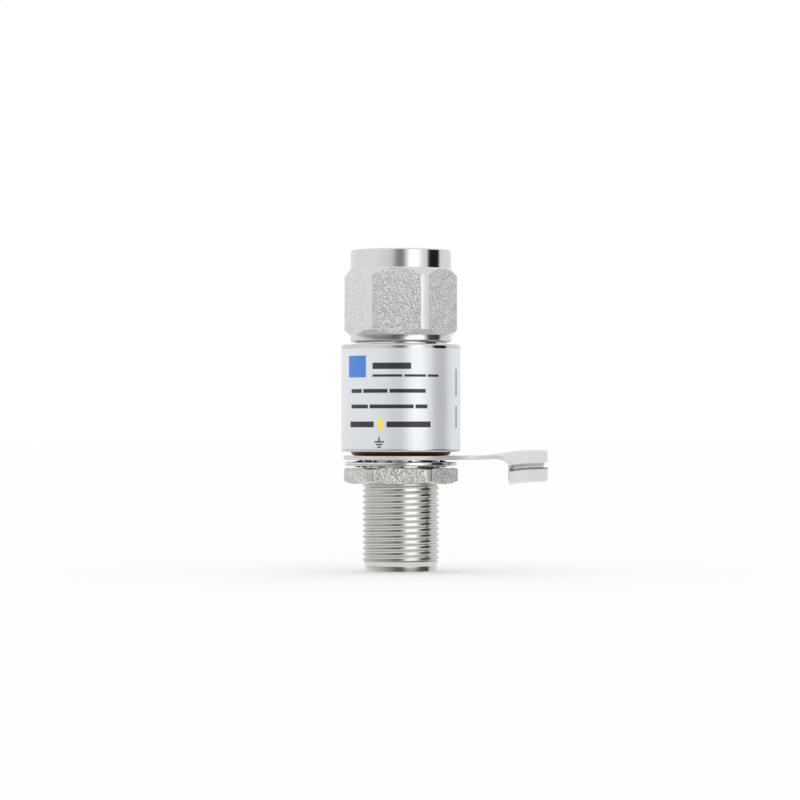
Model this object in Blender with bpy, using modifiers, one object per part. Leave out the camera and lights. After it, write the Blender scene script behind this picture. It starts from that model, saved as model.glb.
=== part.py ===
"""Coaxial lightning arrestor for a bulkhead, with a plug above and a jack below.

A gas tube stands across the line inside the barrel. The axis is Z. The origin is on the
axis, at the shoulder of the barrel that seats on the panel, and the jack points down.
"""

import math

import bmesh
import bpy
from mathutils import Matrix, Vector

MM = 0.001
NAME = "coax_lightning_arrestor"

# Facets round each turned piece
COARSE = 20
MEDIUM = 28
FINE = 36
THREAD_FACETS = 20
SEAL_FACETS = 8
ARC_STEPS = 2
CUT_MARGIN = 1.0 * MM
WELD_DISTANCE = 0.001 * MM

# Clearances
FIT_GAP = 0.05 * MM
RUNNING_GAP = 0.1 * MM
THREAD_GAP = 0.08 * MM

# One size of thread serves the stem and the coupling nut. Widths go on from it
STEM_DIAMETER = 15.88 * MM

# Barrel, from the panel shoulder up
SHOULDER_WIDTH = 4.52 * MM
BARREL_LENGTH = 22.36 * MM
BARREL_EDGE = 0.4 * MM
TOP_BAND = 0.9 * MM
BOTTOM_BAND = 0.5 * MM
LABEL_THICKNESS = 0.06 * MM
LABEL_SEAM = 0.4 * MM
LABEL_SEAM_TURN = math.radians(35.0)

# Threaded stem and nose of the jack, from the panel shoulder down. The undercut goes
# below the root of the thread, and the end of the thread stays inside the taper
THREAD_PITCH = 1.2 * MM
THREAD_CREST = 0.54 * MM
THREAD_DEPTH = 0.42 * MM
THREAD_STOCK = 0.3 * MM
THREAD_END_INSET = 0.06 * MM
STEM_UNDERCUT_DEPTH = 0.18 * MM
STEM_UNDERCUT_LENGTH = 0.7 * MM
STEM_LENGTH = 22.84 * MM
STEM_TAPER_LENGTH = 0.96 * MM
NOSE_INSET = 0.4 * MM
NOSE_LENGTH = 1.3 * MM
NOSE_EDGE = 0.3 * MM

# Bore of the jack
JACK_MOUTH_STEP = 0.8 * MM
JACK_MOUTH_DEPTH = 9.1 * MM
JACK_MOUTH_EDGE = 0.3 * MM

# Coaxial line
LINE_BORE_DIAMETER = 7.0 * MM
RETAINER_WALL = 0.45 * MM
ROD_DIAMETER = 3.04 * MM
NECK_DIAMETER = 2.4 * MM
STUD_DIAMETER = 1.4 * MM
STUD_LENGTH = 2.5 * MM
BEAD_LENGTH = 5.0 * MM
JACK_BEAD_DEPTH = 13.1 * MM

# Socket of the jack
SOCKET_RECESS = 5.0 * MM
SOCKET_BORE_DIAMETER = 1.66 * MM
SOCKET_BORE_DEPTH = 6.0 * MM
SOCKET_SLOT_WIDTH = 0.3 * MM
SOCKET_SLOT_DEPTH = 4.6 * MM

# Plug shell. Its spigot goes down into the barrel, to just above the tube's plug
SHELL_SPIGOT_STAND = 0.3 * MM
SHELL_SPIGOT_CLEARANCE = 0.2 * MM
SHELL_FLANGE_WIDTH = 2.35 * MM
SHELL_FLANGE_THICKNESS = 0.4 * MM
SHELL_STEM_LENGTH = 8.9 * MM
SLEEVE_WALL = 0.53 * MM
SLEEVE_LENGTH = 9.0 * MM
SLEEVE_EDGE = 0.2 * MM
SLEEVE_SLOT_WIDTH = 0.5 * MM
SLEEVE_SLOT_DEPTH = 6.5 * MM
PLUG_BEAD_LIFT = 1.5 * MM

# Plug pin
PIN_TIP_DIAMETER = 1.65 * MM
PIN_TIP_LENGTH = 5.2 * MM
PIN_TIP_TAPER = 0.5 * MM
PIN_NOSE_STEPS = 3
PIN_BEYOND_SLEEVE = 0.1 * MM

# Gasket
GASKET_THICKNESS = 1.2 * MM

# Coupling nut, from its foot up
NUT_WALL = 2.53 * MM
NUT_CORNER_STAND = 1.14 * MM
NUT_TURN = math.radians(-4.75)
NUT_FOOT_INSET = 0.1 * MM
NUT_FOOT_LENGTH = 1.35 * MM
NUT_FOOT_EDGE = 0.35 * MM
NUT_LOWER_CONE = 1.15 * MM
NUT_HEX_LENGTH = 11.2 * MM
NUT_UPPER_CONE = 1.6 * MM
NUT_COLLAR_INSET = 0.155 * MM
NUT_COLLAR_LENGTH = 3.9 * MM
NUT_RIM_EDGE = 0.3 * MM
NUT_THREAD_BITE = 0.5 * MM
NUT_THREAD_DEPTH = 0.7 * MM
NUT_THREAD_LENGTH = 9.8 * MM
NUT_RELIEF_LENGTH = 1.4 * MM

# Snap ring
SNAP_THICKNESS = 0.6 * MM
SNAP_BITE = 0.4 * MM
SNAP_WIDTH = 0.95 * MM
SNAP_HEIGHT = 5.0 * MM
SNAP_OPENING = 4.0 * MM
SNAP_SLACK = 0.15 * MM

# Gas tube across the line, in a port at the back. Its length follows from the port's
TUBE_DIAMETER = 8.0 * MM
ELECTRODE_THICKNESS = 1.0 * MM
ELECTRODE_BOSS_DIAMETER = 4.0 * MM
SPARK_GAP = 1.0 * MM
CERAMIC_INSET = 0.15 * MM
CERAMIC_WALL = 0.95 * MM
PORT_SEAT_DEPTH = 3.46 * MM
PORT_SHOULDER = 0.8 * MM
PLUG_SEAL_THICKNESS = 0.45 * MM
TUBE_PLUG_DEPTH = 1.24 * MM
KEY_ACROSS_FLATS = 3.0 * MM
KEY_DEPTH = 1.0 * MM
SPRING_ROOM = 1.33 * MM
SPRING_WIRE = 0.5 * MM
SPRING_INSET = 1.2 * MM
SPRING_TURNS = 2.25
SPRING_STEPS_A_TURN = 14

# Seal ring in the shoulder, a little nearer to the stem than to the barrel's side
SEAL_CORD = 1.76 * MM
SEAL_INSET = 0.25 * MM
SEAL_STAND = 0.76 * MM
SEAL_SIDE_GAP = 0.1 * MM

# Ground lug, a stamping with a rolled barrel. Its lengths go on from the ring's rim
LUG_THICKNESS = 0.88 * MM
LUG_RING_INSET = 0.46 * MM
LUG_HOLE_GAP = 0.2 * MM
LUG_NECK_WIDTH = 7.0 * MM
LUG_NECK_ROOT_WIDTH = 14.0 * MM
LUG_FLARE_LENGTH = 5.0 * MM
LUG_CURL_LENGTH = 5.6 * MM
LUG_CURL_POWER = 3.5
LUG_BARREL_LENGTH = 8.0 * MM
LUG_FLAT_LENGTH = 3.9 * MM
LUG_RISE_LENGTH = 11.2 * MM
LUG_RISE = 1.12 * MM
LUG_BARREL_DIAMETER = 6.9 * MM
LUG_BARREL_END_DIAMETER = 6.6 * MM
LUG_BARREL_TILT = math.radians(0.6)
LUG_SEAM = 0.25 * MM
LUG_ACROSS = 8
LUG_WING_FACETS = 8
LUG_FLARE_ROWS = 4
LUG_CURL_ROWS = 6
LUG_BARREL_ROWS = 3

# Lock washer with twisted internal teeth
WASHER_THICKNESS = 0.8 * MM
WASHER_HEIGHT = 1.6 * MM
WASHER_INSET = 0.3 * MM
WASHER_RIM_WIDTH = 1.3 * MM
WASHER_HOLE_GAP = 0.175 * MM
WASHER_TEETH = 12
TOOTH_TIP_WIDTH = 2.5 * MM
TOOTH_COLUMNS = 2
TOOTH_STAGES = 3
RIM_COLUMNS = 4

# Bulkhead nut
BULKHEAD_WALL = 2.72 * MM
BULKHEAD_CORNER_STAND = 1.2 * MM
BULKHEAD_THICKNESS = 3.3 * MM
BULKHEAD_TURN = math.radians(-2.0)
BULKHEAD_TOP_CHAMFER = 0.25 * MM
BULKHEAD_FOOT_CHAMFER = 0.6 * MM
BULKHEAD_FOOT_INSET = 0.1 * MM
BULKHEAD_BORE_CHAMFER = 0.4 * MM

# Heights and radii worked out from the sizes above
STEM_RADIUS = STEM_DIAMETER / 2
BARREL_RADIUS = STEM_RADIUS + SHOULDER_WIDTH
LABEL_SEAT_RADIUS = BARREL_RADIUS - LABEL_THICKNESS - FIT_GAP
THREAD_ROOT_RADIUS = STEM_RADIUS - THREAD_DEPTH
UNDERCUT_RADIUS = THREAD_ROOT_RADIUS - STEM_UNDERCUT_DEPTH
TAPER_END = -STEM_LENGTH - STEM_TAPER_LENGTH
NOSE_END = TAPER_END - NOSE_LENGTH
NOSE_RADIUS = STEM_RADIUS - NOSE_INSET
LINE_RADIUS = LINE_BORE_DIAMETER / 2
LINER_RADIUS = LINE_RADIUS + RETAINER_WALL + FIT_GAP
JACK_MOUTH_RADIUS = LINE_RADIUS + JACK_MOUTH_STEP
ROD_RADIUS = ROD_DIAMETER / 2
NECK_RADIUS = NECK_DIAMETER / 2
STUD_RADIUS = STUD_DIAMETER / 2
JACK_STEP = NOSE_END + JACK_MOUTH_DEPTH
JACK_BEAD_FOOT = NOSE_END + JACK_BEAD_DEPTH
JACK_BEAD_TOP = JACK_BEAD_FOOT + BEAD_LENGTH
TUBE_HEIGHT = BARREL_LENGTH / 2
PORT_RADIUS = TUBE_DIAMETER / 2 + RUNNING_GAP
TUBE_PLUG_RADIUS = PORT_RADIUS + PORT_SHOULDER
NUT_MINOR_RADIUS = STEM_RADIUS - NUT_THREAD_BITE
NUT_MOUTH_RADIUS = NUT_MINOR_RADIUS + NUT_THREAD_DEPTH
SHELL_STEM_RADIUS = NUT_MINOR_RADIUS - RUNNING_GAP
SPIGOT_RADIUS = SHELL_STEM_RADIUS + SHELL_SPIGOT_STAND
SPIGOT_END = TUBE_HEIGHT + TUBE_PLUG_RADIUS + SHELL_SPIGOT_CLEARANCE
FLANGE_RADIUS = SHELL_STEM_RADIUS + SHELL_FLANGE_WIDTH
FLANGE_FOOT = BARREL_LENGTH + FIT_GAP
FLANGE_TOP = FLANGE_FOOT + SHELL_FLANGE_THICKNESS
GASKET_SEAT = FLANGE_TOP + SHELL_STEM_LENGTH
SLEEVE_RADIUS = LINE_RADIUS + SLEEVE_WALL
SLEEVE_TIP = GASKET_SEAT + SLEEVE_LENGTH
PLUG_BEAD_FOOT = FLANGE_TOP + PLUG_BEAD_LIFT
PLUG_BEAD_TOP = PLUG_BEAD_FOOT + BEAD_LENGTH
PIN_TIP = SLEEVE_TIP + PIN_BEYOND_SLEEVE
NUT_FOOT = FLANGE_TOP + RUNNING_GAP
NUT_CONE_FOOT = NUT_FOOT + NUT_FOOT_LENGTH
NUT_HEX_FOOT = NUT_CONE_FOOT + NUT_LOWER_CONE
NUT_HEX_TOP = NUT_HEX_FOOT + NUT_HEX_LENGTH
NUT_COLLAR_FOOT = NUT_HEX_TOP + NUT_UPPER_CONE
NUT_RIM = NUT_COLLAR_FOOT + NUT_COLLAR_LENGTH
NUT_APOTHEM = NUT_MOUTH_RADIUS + NUT_WALL
NUT_TURNED_RADIUS = NUT_APOTHEM + NUT_CORNER_STAND
NUT_FOOT_RADIUS = NUT_APOTHEM - NUT_FOOT_INSET
NUT_COLLAR_RADIUS = NUT_APOTHEM - NUT_COLLAR_INSET
NUT_REAR_RADIUS = SHELL_STEM_RADIUS + RUNNING_GAP + FIT_GAP / 2
SNAP_FOOT = FLANGE_TOP + SNAP_HEIGHT
SNAP_INNER_RADIUS = SHELL_STEM_RADIUS - SNAP_BITE + FIT_GAP
SNAP_OUTER_RADIUS = SNAP_INNER_RADIUS + SNAP_WIDTH
PORT_SEAT = BARREL_RADIUS - PORT_SEAT_DEPTH
TUBE_START = ROD_RADIUS + FIT_GAP
TUBE_END = PORT_SEAT - SPRING_ROOM
INNER_FACE = TUBE_START + ELECTRODE_THICKNESS
OUTER_FACE = TUBE_END - ELECTRODE_THICKNESS
ELECTRODE_BOSS_LENGTH = (OUTER_FACE - INNER_FACE - SPARK_GAP) / 2
CERAMIC_RADIUS = TUBE_DIAMETER / 2 - CERAMIC_INSET
TUBE_PLUG_OUTER_FACE = BARREL_RADIUS - TUBE_PLUG_DEPTH
TUBE_PLUG_FOOT = PORT_SEAT + PLUG_SEAL_THICKNESS + 2 * FIT_GAP
SPRING_RADIUS = TUBE_DIAMETER / 2 - SPRING_INSET - SPRING_WIRE / 2
SEAL_RADIUS = (BARREL_RADIUS + UNDERCUT_RADIUS) / 2 - SEAL_INSET
SEAL_HEIGHT = SEAL_CORD / 2 - SEAL_STAND
GROOVE_DEPTH = SEAL_CORD - SEAL_STAND + FIT_GAP
LUG_TOP = -SEAL_STAND - FIT_GAP
LUG_FOOT = LUG_TOP - LUG_THICKNESS
LUG_RING_RADIUS = BARREL_RADIUS - LUG_RING_INSET
LUG_HOLE_RADIUS = STEM_RADIUS + LUG_HOLE_GAP
LUG_FLARE_END = LUG_RING_RADIUS + LUG_FLARE_LENGTH
LUG_WING_START = LUG_FLARE_END + LUG_CURL_LENGTH
LUG_REACH = LUG_WING_START + LUG_BARREL_LENGTH
LUG_RISE_START = LUG_RING_RADIUS + LUG_FLAT_LENGTH
LUG_RISE_END = LUG_RISE_START + LUG_RISE_LENGTH
WASHER_RADIUS = LUG_RING_RADIUS - WASHER_INSET
WASHER_HOLE_RADIUS = STEM_RADIUS + WASHER_HOLE_GAP
WASHER_TOP = LUG_FOOT - FIT_GAP
WASHER_MIDDLE = WASHER_TOP - WASHER_HEIGHT / 2
BULKHEAD_TOP = WASHER_TOP - WASHER_HEIGHT - FIT_GAP
BULKHEAD_FOOT = BULKHEAD_TOP - BULKHEAD_THICKNESS
BULKHEAD_BORE_RADIUS = STEM_RADIUS + THREAD_GAP
BULKHEAD_APOTHEM = BULKHEAD_BORE_RADIUS + BULKHEAD_WALL
BULKHEAD_TURNED_RADIUS = BULKHEAD_APOTHEM + BULKHEAD_CORNER_STAND
BULKHEAD_FOOT_RADIUS = BULKHEAD_APOTHEM - BULKHEAD_FOOT_INSET


def clear_scene():
    for obj in list(bpy.data.objects):
        bpy.data.objects.remove(obj, do_unlink=True)


def new_collection(name):
    made = bpy.data.collections.new(name)
    bpy.context.scene.collection.children.link(made)
    return made


def new_material(name, colour, roughness, metallic):
    made = bpy.data.materials.new(name)
    made.use_nodes = True
    shader = made.node_tree.nodes["Principled BSDF"]
    shader.inputs["Base Color"].default_value = (*colour, 1.0)
    shader.inputs["Roughness"].default_value = roughness
    shader.inputs["Metallic"].default_value = metallic
    return made


def add_part(name, mesh, finish):
    """A sub-part in the object's own collection."""
    obj = bpy.data.objects.new(name, mesh)
    mesh.materials.append(finish)
    parts.objects.link(obj)
    return obj


def add_cutter(name, mesh):
    obj = bpy.data.objects.new(name, mesh)
    obj.hide_render = True
    obj.display_type = "WIRE"
    cutters.objects.link(obj)
    return obj


def cut(obj, cutter, operation="DIFFERENCE"):
    modifier = obj.modifiers.new(cutter.name, "BOOLEAN")
    modifier.operation = operation
    modifier.solver = "EXACT"
    modifier.object = cutter


def rounded(corners):
    """The points of a closed outline. A corner is (radius, height) or (radius, height, fillet)."""
    points = []
    for index, corner in enumerate(corners):
        here = Vector(corner[:2])
        if len(corner) == 2:
            points.append(here)
            continue
        before = (Vector(corners[index - 1][:2]) - here).normalized()
        after = (Vector(corners[(index + 1) % len(corners)][:2]) - here).normalized()
        half = before.angle(after) / 2
        centre = here + (before + after).normalized() * corner[2] / math.sin(half)
        start = here + before * corner[2] / math.tan(half) - centre
        sweep = start.angle_signed(here + after * corner[2] / math.tan(half) - centre)
        for step in range(ARC_STEPS + 1):
            points.append(centre + Matrix.Rotation(-sweep * step / ARC_STEPS, 2) @ start)
    return points


def turned_mesh(name, corners):
    """A closed outline in the XZ plane, which runs down its outer side."""
    points = rounded(corners)
    mesh = bpy.data.meshes.new(name)
    edges = [(index, (index + 1) % len(points)) for index in range(len(points))]
    mesh.from_pydata([(radius, 0.0, height) for radius, height in points], edges, [])
    return mesh


def solid_turned_mesh(name, corners):
    """The same for a piece without a bore: its outline starts and ends on the axis."""
    points = [(0.0, corners[0][1]), *corners, (0.0, corners[-1][1])]
    mesh = bpy.data.meshes.new(name)
    edges = [(index, index + 1) for index in range(len(points) - 1)]
    mesh.from_pydata([(radius, 0.0, height) for radius, height in points], edges, [])
    return mesh


def screw(obj, segments):
    modifier = obj.modifiers.new("Turn", "SCREW")
    modifier.steps = segments
    modifier.render_steps = segments
    modifier.use_merge_vertices = True
    modifier.merge_threshold = WELD_DISTANCE
    modifier.use_smooth_shade = True
    return obj


def turn(name, corners, segments, finish):
    """A ring or tube turned round Z, from its closed outline."""
    return screw(add_part(name, turned_mesh(name, corners), finish), segments)


def turn_solid(name, corners, segments, finish):
    """A solid piece turned round Z, from the outline between its two ends on the axis."""
    return screw(add_part(name, solid_turned_mesh(name, corners), finish), segments)


def lay_across(obj):
    """Turns a piece made round Z to lie along +Y, at the height of the gas tube."""
    obj.rotation_euler = (-math.pi / 2, 0.0, 0.0)
    obj.location = (0.0, 0.0, TUBE_HEIGHT)
    return obj


def box_cutter(name, low, high, turn_about_z=0.0):
    mesh = bpy.data.meshes.new(name)
    shape = bmesh.new()
    bmesh.ops.create_cube(shape, size=1.0)
    size = Vector(high) - Vector(low)
    bmesh.ops.scale(shape, vec=size, verts=shape.verts)
    bmesh.ops.translate(shape, vec=Vector(low) + size / 2, verts=shape.verts)
    shape.to_mesh(mesh)
    shape.free()
    cutter = add_cutter(name, mesh)
    cutter.rotation_euler.z = turn_about_z
    return cutter


def prism_cutter(name, radius, low, high, segments, turn_about_z=0.0):
    """A cylinder, or a hexagon whose first corner is at +Y, between two heights."""
    mesh = bpy.data.meshes.new(name)
    shape = bmesh.new()
    middle = Matrix.Translation((0.0, 0.0, (low + high) / 2))
    spin = Matrix.Rotation(turn_about_z, 4, "Z")
    bmesh.ops.create_cone(
        shape,
        cap_ends=True,
        segments=segments,
        radius1=radius,
        radius2=radius,
        depth=high - low,
        matrix=middle @ spin,
    )
    shape.to_mesh(mesh)
    shape.free()
    return add_cutter(name, mesh)


def cut_to_hexagon(obj, apothem, low, high, spin):
    """Cuts six flats. The spin turns the front one away from -Y."""
    corner = apothem / math.cos(math.pi / 6)
    hexagon = prism_cutter(obj.name + "_hexagon", corner, low, high, 6, spin + math.pi / 6)
    cut(obj, hexagon, "INTERSECT")


def threaded_rod(name, crest, root, low, high):
    """A rod with the right-hand thread: its form, spun up the axis and cut square."""
    turns = math.ceil((high - low) / THREAD_PITCH) + 2
    start = low - THREAD_PITCH
    form = [
        (crest, start),
        (crest, start + THREAD_CREST),
        (root, start + (THREAD_CREST + THREAD_PITCH) / 2),
        (crest, start + THREAD_PITCH),
    ]
    shape = bmesh.new()
    points = [shape.verts.new((radius, 0.0, height)) for radius, height in form]
    edges = [shape.edges.new(pair) for pair in zip(points, points[1:])]
    bmesh.ops.spin(
        shape,
        geom=[*points, *edges],
        axis=(0.0, 0.0, 1.0),
        dvec=(0.0, 0.0, THREAD_PITCH / THREAD_FACETS),
        angle=2 * math.pi * turns,
        steps=THREAD_FACETS * turns,
    )
    bmesh.ops.remove_doubles(shape, verts=shape.verts, dist=WELD_DISTANCE)
    for height, outward in ((low, -1.0), (high, 1.0)):
        bmesh.ops.bisect_plane(
            shape,
            geom=[*shape.verts, *shape.edges, *shape.faces],
            plane_co=(0.0, 0.0, height),
            plane_no=(0.0, 0.0, outward),
            clear_outer=True,
        )
    rims = [edge for edge in shape.edges if edge.is_boundary]
    bmesh.ops.holes_fill(shape, edges=rims)
    bmesh.ops.recalc_face_normals(shape, faces=shape.faces)
    bmesh.ops.triangulate(shape, faces=shape.faces)
    mesh = bpy.data.meshes.new(name)
    shape.to_mesh(mesh)
    shape.free()
    return add_cutter(name, mesh)


def stem_thread():
    """A threaded sleeve for the stem's core. A blank bores it and bevels both its ends."""
    inner = UNDERCUT_RADIUS - THREAD_STOCK
    outer = STEM_RADIUS + THREAD_GAP
    slope = outer - inner
    top = -STEM_UNDERCUT_LENGTH + THREAD_STOCK
    foot = -STEM_LENGTH - (STEM_RADIUS - THREAD_END_INSET - inner)
    corners = [(inner, top), (outer, top - slope), (outer, foot + slope), (inner, foot)]
    blank = add_cutter("stem_thread_blank", turned_mesh("stem_thread_blank", corners))
    low = foot - CUT_MARGIN
    high = top + CUT_MARGIN
    rod = threaded_rod("stem_thread", STEM_RADIUS, THREAD_ROOT_RADIUS, low, high)
    cut(rod, screw(blank, THREAD_FACETS), "INTERSECT")
    return rod


def housing():
    """Barrel, threaded stem and nose, turned from one bar and bored from both ends."""
    groove_half = SEAL_CORD / 2 + SEAL_SIDE_GAP
    groove_inner = SEAL_RADIUS - groove_half
    groove_outer = SEAL_RADIUS + groove_half
    spigot_bore = SPIGOT_RADIUS + THREAD_GAP
    obj = turn(
        "housing",
        [
            (BARREL_RADIUS, BARREL_LENGTH, BARREL_EDGE),
            (BARREL_RADIUS, BARREL_LENGTH - TOP_BAND),
            (LABEL_SEAT_RADIUS, BARREL_LENGTH - TOP_BAND),
            (LABEL_SEAT_RADIUS, BOTTOM_BAND),
            (BARREL_RADIUS, BOTTOM_BAND),
            (BARREL_RADIUS, 0.0, BARREL_EDGE),
            (groove_outer, 0.0),
            (groove_outer, GROOVE_DEPTH),
            (groove_inner, GROOVE_DEPTH),
            (groove_inner, 0.0),
            (UNDERCUT_RADIUS, 0.0),
            (UNDERCUT_RADIUS, -STEM_LENGTH),
            (STEM_RADIUS, -STEM_LENGTH),
            (NOSE_RADIUS, TAPER_END),
            (NOSE_RADIUS, NOSE_END, NOSE_EDGE),
            (JACK_MOUTH_RADIUS + JACK_MOUTH_EDGE, NOSE_END),
            (JACK_MOUTH_RADIUS, NOSE_END + JACK_MOUTH_EDGE),
            (JACK_MOUTH_RADIUS, JACK_STEP),
            (LINE_RADIUS, JACK_STEP),
            (LINE_RADIUS, JACK_BEAD_FOOT - FIT_GAP),
            (LINER_RADIUS, JACK_BEAD_FOOT - FIT_GAP),
            (LINER_RADIUS, SPIGOT_END - FIT_GAP),
            (spigot_bore, SPIGOT_END - FIT_GAP),
            (spigot_bore, BARREL_LENGTH),
        ],
        FINE,
        finishes["nickel_plate"],
    )
    port = prism_cutter("tube_port", PORT_RADIUS, 0.0, PORT_SEAT + CUT_MARGIN, MEDIUM)
    seat = prism_cutter(
        "tube_port_thread",
        TUBE_PLUG_RADIUS + THREAD_GAP,
        PORT_SEAT,
        BARREL_RADIUS + CUT_MARGIN,
        MEDIUM,
    )
    for cutter in (port, seat):
        cut(obj, lay_across(cutter))
    cut(obj, stem_thread(), "UNION")


def label():
    """Printed film round the barrel, with a narrow seam at the back."""
    low = BOTTOM_BAND + FIT_GAP
    high = BARREL_LENGTH - TOP_BAND - FIT_GAP
    inner = BARREL_RADIUS - LABEL_THICKNESS
    obj = turn(
        "label",
        [(BARREL_RADIUS, high), (BARREL_RADIUS, low), (inner, low), (inner, high)],
        FINE,
        finishes["label_film"],
    )
    half = LABEL_SEAM / 2
    slit = box_cutter(
        "label_seam",
        (-half, inner - CUT_MARGIN, low - CUT_MARGIN),
        (half, BARREL_RADIUS + CUT_MARGIN, high + CUT_MARGIN),
        LABEL_SEAM_TURN,
    )
    cut(obj, slit)


def cross_slots(obj, width, reach, low, high):
    """Two saw cuts at right angles, which leave four spring fingers."""
    for number in range(2):
        slot = box_cutter(
            f"{obj.name}_slot_{number + 1}",
            (-reach, -width / 2, low),
            (reach, width / 2, high),
            math.pi / 4 + number * math.pi / 2,
        )
        cut(obj, slot)


def plug_shell():
    """Outer contact of the plug: spigot, flange, stem with a ring groove, and slotted sleeve."""
    groove_radius = SHELL_STEM_RADIUS - SNAP_BITE
    obj = turn(
        "plug_shell",
        [
            (SLEEVE_RADIUS - SLEEVE_EDGE, SLEEVE_TIP),
            (SLEEVE_RADIUS, SLEEVE_TIP - SLEEVE_EDGE),
            (SLEEVE_RADIUS, GASKET_SEAT),
            (SHELL_STEM_RADIUS, GASKET_SEAT),
            (SHELL_STEM_RADIUS, SNAP_FOOT + SNAP_THICKNESS + FIT_GAP),
            (groove_radius, SNAP_FOOT + SNAP_THICKNESS + FIT_GAP),
            (groove_radius, SNAP_FOOT - FIT_GAP),
            (SHELL_STEM_RADIUS, SNAP_FOOT - FIT_GAP),
            (SHELL_STEM_RADIUS, FLANGE_TOP),
            (FLANGE_RADIUS, FLANGE_TOP),
            (FLANGE_RADIUS, FLANGE_FOOT),
            (SPIGOT_RADIUS, FLANGE_FOOT),
            (SPIGOT_RADIUS, SPIGOT_END),
            (LINER_RADIUS, SPIGOT_END),
            (LINER_RADIUS, PLUG_BEAD_TOP + FIT_GAP),
            (LINE_RADIUS, PLUG_BEAD_TOP + FIT_GAP),
            (LINE_RADIUS, SLEEVE_TIP),
        ],
        MEDIUM,
        finishes["white_bronze"],
    )
    cross_slots(
        obj,
        SLEEVE_SLOT_WIDTH,
        SLEEVE_RADIUS + CUT_MARGIN,
        SLEEVE_TIP - SLEEVE_SLOT_DEPTH,
        SLEEVE_TIP + CUT_MARGIN,
    )


def coupling_nut():
    """A turned blank with flats: the cones above and below leave an arc on each flat.

    Its bore is left narrow where the thread is tapped.
    """
    stock = NUT_MINOR_RADIUS - THREAD_STOCK
    slope = NUT_MOUTH_RADIUS - stock
    thread_foot = NUT_RIM - NUT_THREAD_LENGTH
    relief_foot = thread_foot - NUT_RELIEF_LENGTH
    groove_foot = SNAP_FOOT - SNAP_SLACK
    groove_top = SNAP_FOOT + SNAP_THICKNESS + SNAP_SLACK
    groove = SNAP_OUTER_RADIUS + SNAP_SLACK
    obj = turn(
        "coupling_nut",
        [
            (NUT_COLLAR_RADIUS, NUT_RIM, NUT_RIM_EDGE),
            (NUT_COLLAR_RADIUS, NUT_COLLAR_FOOT),
            (NUT_TURNED_RADIUS, NUT_HEX_TOP),
            (NUT_TURNED_RADIUS, NUT_HEX_FOOT),
            (NUT_FOOT_RADIUS, NUT_CONE_FOOT),
            (NUT_FOOT_RADIUS, NUT_FOOT, NUT_FOOT_EDGE),
            (NUT_REAR_RADIUS, NUT_FOOT),
            (NUT_REAR_RADIUS, groove_foot),
            (groove, groove_foot),
            (groove, groove_top),
            (NUT_REAR_RADIUS, groove_top),
            (NUT_REAR_RADIUS, relief_foot),
            (NUT_MOUTH_RADIUS, relief_foot),
            (NUT_MOUTH_RADIUS, thread_foot),
            (stock, thread_foot + slope),
            (stock, NUT_RIM - slope),
            (NUT_MOUTH_RADIUS, NUT_RIM),
        ],
        FINE,
        finishes["white_bronze"],
    )
    cut_to_hexagon(obj, NUT_APOTHEM, NUT_FOOT - CUT_MARGIN, NUT_RIM + CUT_MARGIN, NUT_TURN)
    tap = threaded_rod(
        "coupling_nut_thread",
        STEM_RADIUS + THREAD_GAP,
        NUT_MINOR_RADIUS,
        thread_foot - NUT_RELIEF_LENGTH / 2,
        NUT_RIM + CUT_MARGIN,
    )
    cut(obj, tap)
    return obj


def snap_ring():
    """Split ring, half in the shell's groove and half in the nut's."""
    top = SNAP_FOOT + SNAP_THICKNESS
    obj = turn(
        "snap_ring",
        [
            (SNAP_OUTER_RADIUS, top),
            (SNAP_OUTER_RADIUS, SNAP_FOOT),
            (SNAP_INNER_RADIUS, SNAP_FOOT),
            (SNAP_INNER_RADIUS, top),
        ],
        MEDIUM,
        finishes["spring_bronze"],
    )
    opening = box_cutter(
        "snap_ring_opening",
        (-SNAP_OPENING / 2, 0.0, SNAP_FOOT - CUT_MARGIN),
        (SNAP_OPENING / 2, SNAP_OUTER_RADIUS + CUT_MARGIN, top + CUT_MARGIN),
    )
    cut(obj, opening)


def plug_gasket():
    low = GASKET_SEAT + FIT_GAP
    high = low + GASKET_THICKNESS
    outer = SHELL_STEM_RADIUS - RUNNING_GAP
    inner = SLEEVE_RADIUS + RUNNING_GAP
    turn(
        "plug_gasket",
        [(outer, high), (outer, low), (inner, low), (inner, high)],
        MEDIUM,
        finishes["silicone"],
    )


def plug_pin():
    """Pin with a round tip, a neck through the bead and a tapped foot for the rod's stud."""
    tip = PIN_TIP_DIAMETER / 2
    tip_foot = PIN_TIP - PIN_TIP_LENGTH
    angles = [math.pi / 2 * step / PIN_NOSE_STEPS for step in range(PIN_NOSE_STEPS + 1)]
    nose = [(tip * math.sin(angle), PIN_TIP - tip + tip * math.cos(angle)) for angle in angles]
    hole = STUD_RADIUS + FIT_GAP
    hole_top = PLUG_BEAD_FOOT + STUD_LENGTH + RUNNING_GAP
    foot = PLUG_BEAD_FOOT
    points = [
        *nose,
        (tip, tip_foot),
        (ROD_RADIUS, tip_foot - PIN_TIP_TAPER),
        (ROD_RADIUS, PLUG_BEAD_TOP + FIT_GAP),
        (NECK_RADIUS, PLUG_BEAD_TOP + FIT_GAP),
        (NECK_RADIUS, foot),
        (hole, foot),
        (hole, hole_top),
    ]
    turn_solid("plug_pin", points, COARSE, finishes["gold_plate"])


def bead(name, low):
    """PTFE bead with chamfered ends, between a step of the bore and a retainer."""
    outer = LINER_RADIUS - FIT_GAP
    inner = NECK_RADIUS + FIT_GAP
    high = low + BEAD_LENGTH
    turn(
        name,
        [(outer, high), (outer, low), (inner, low), (inner, high)],
        MEDIUM,
        finishes["ptfe"],
    )


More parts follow.
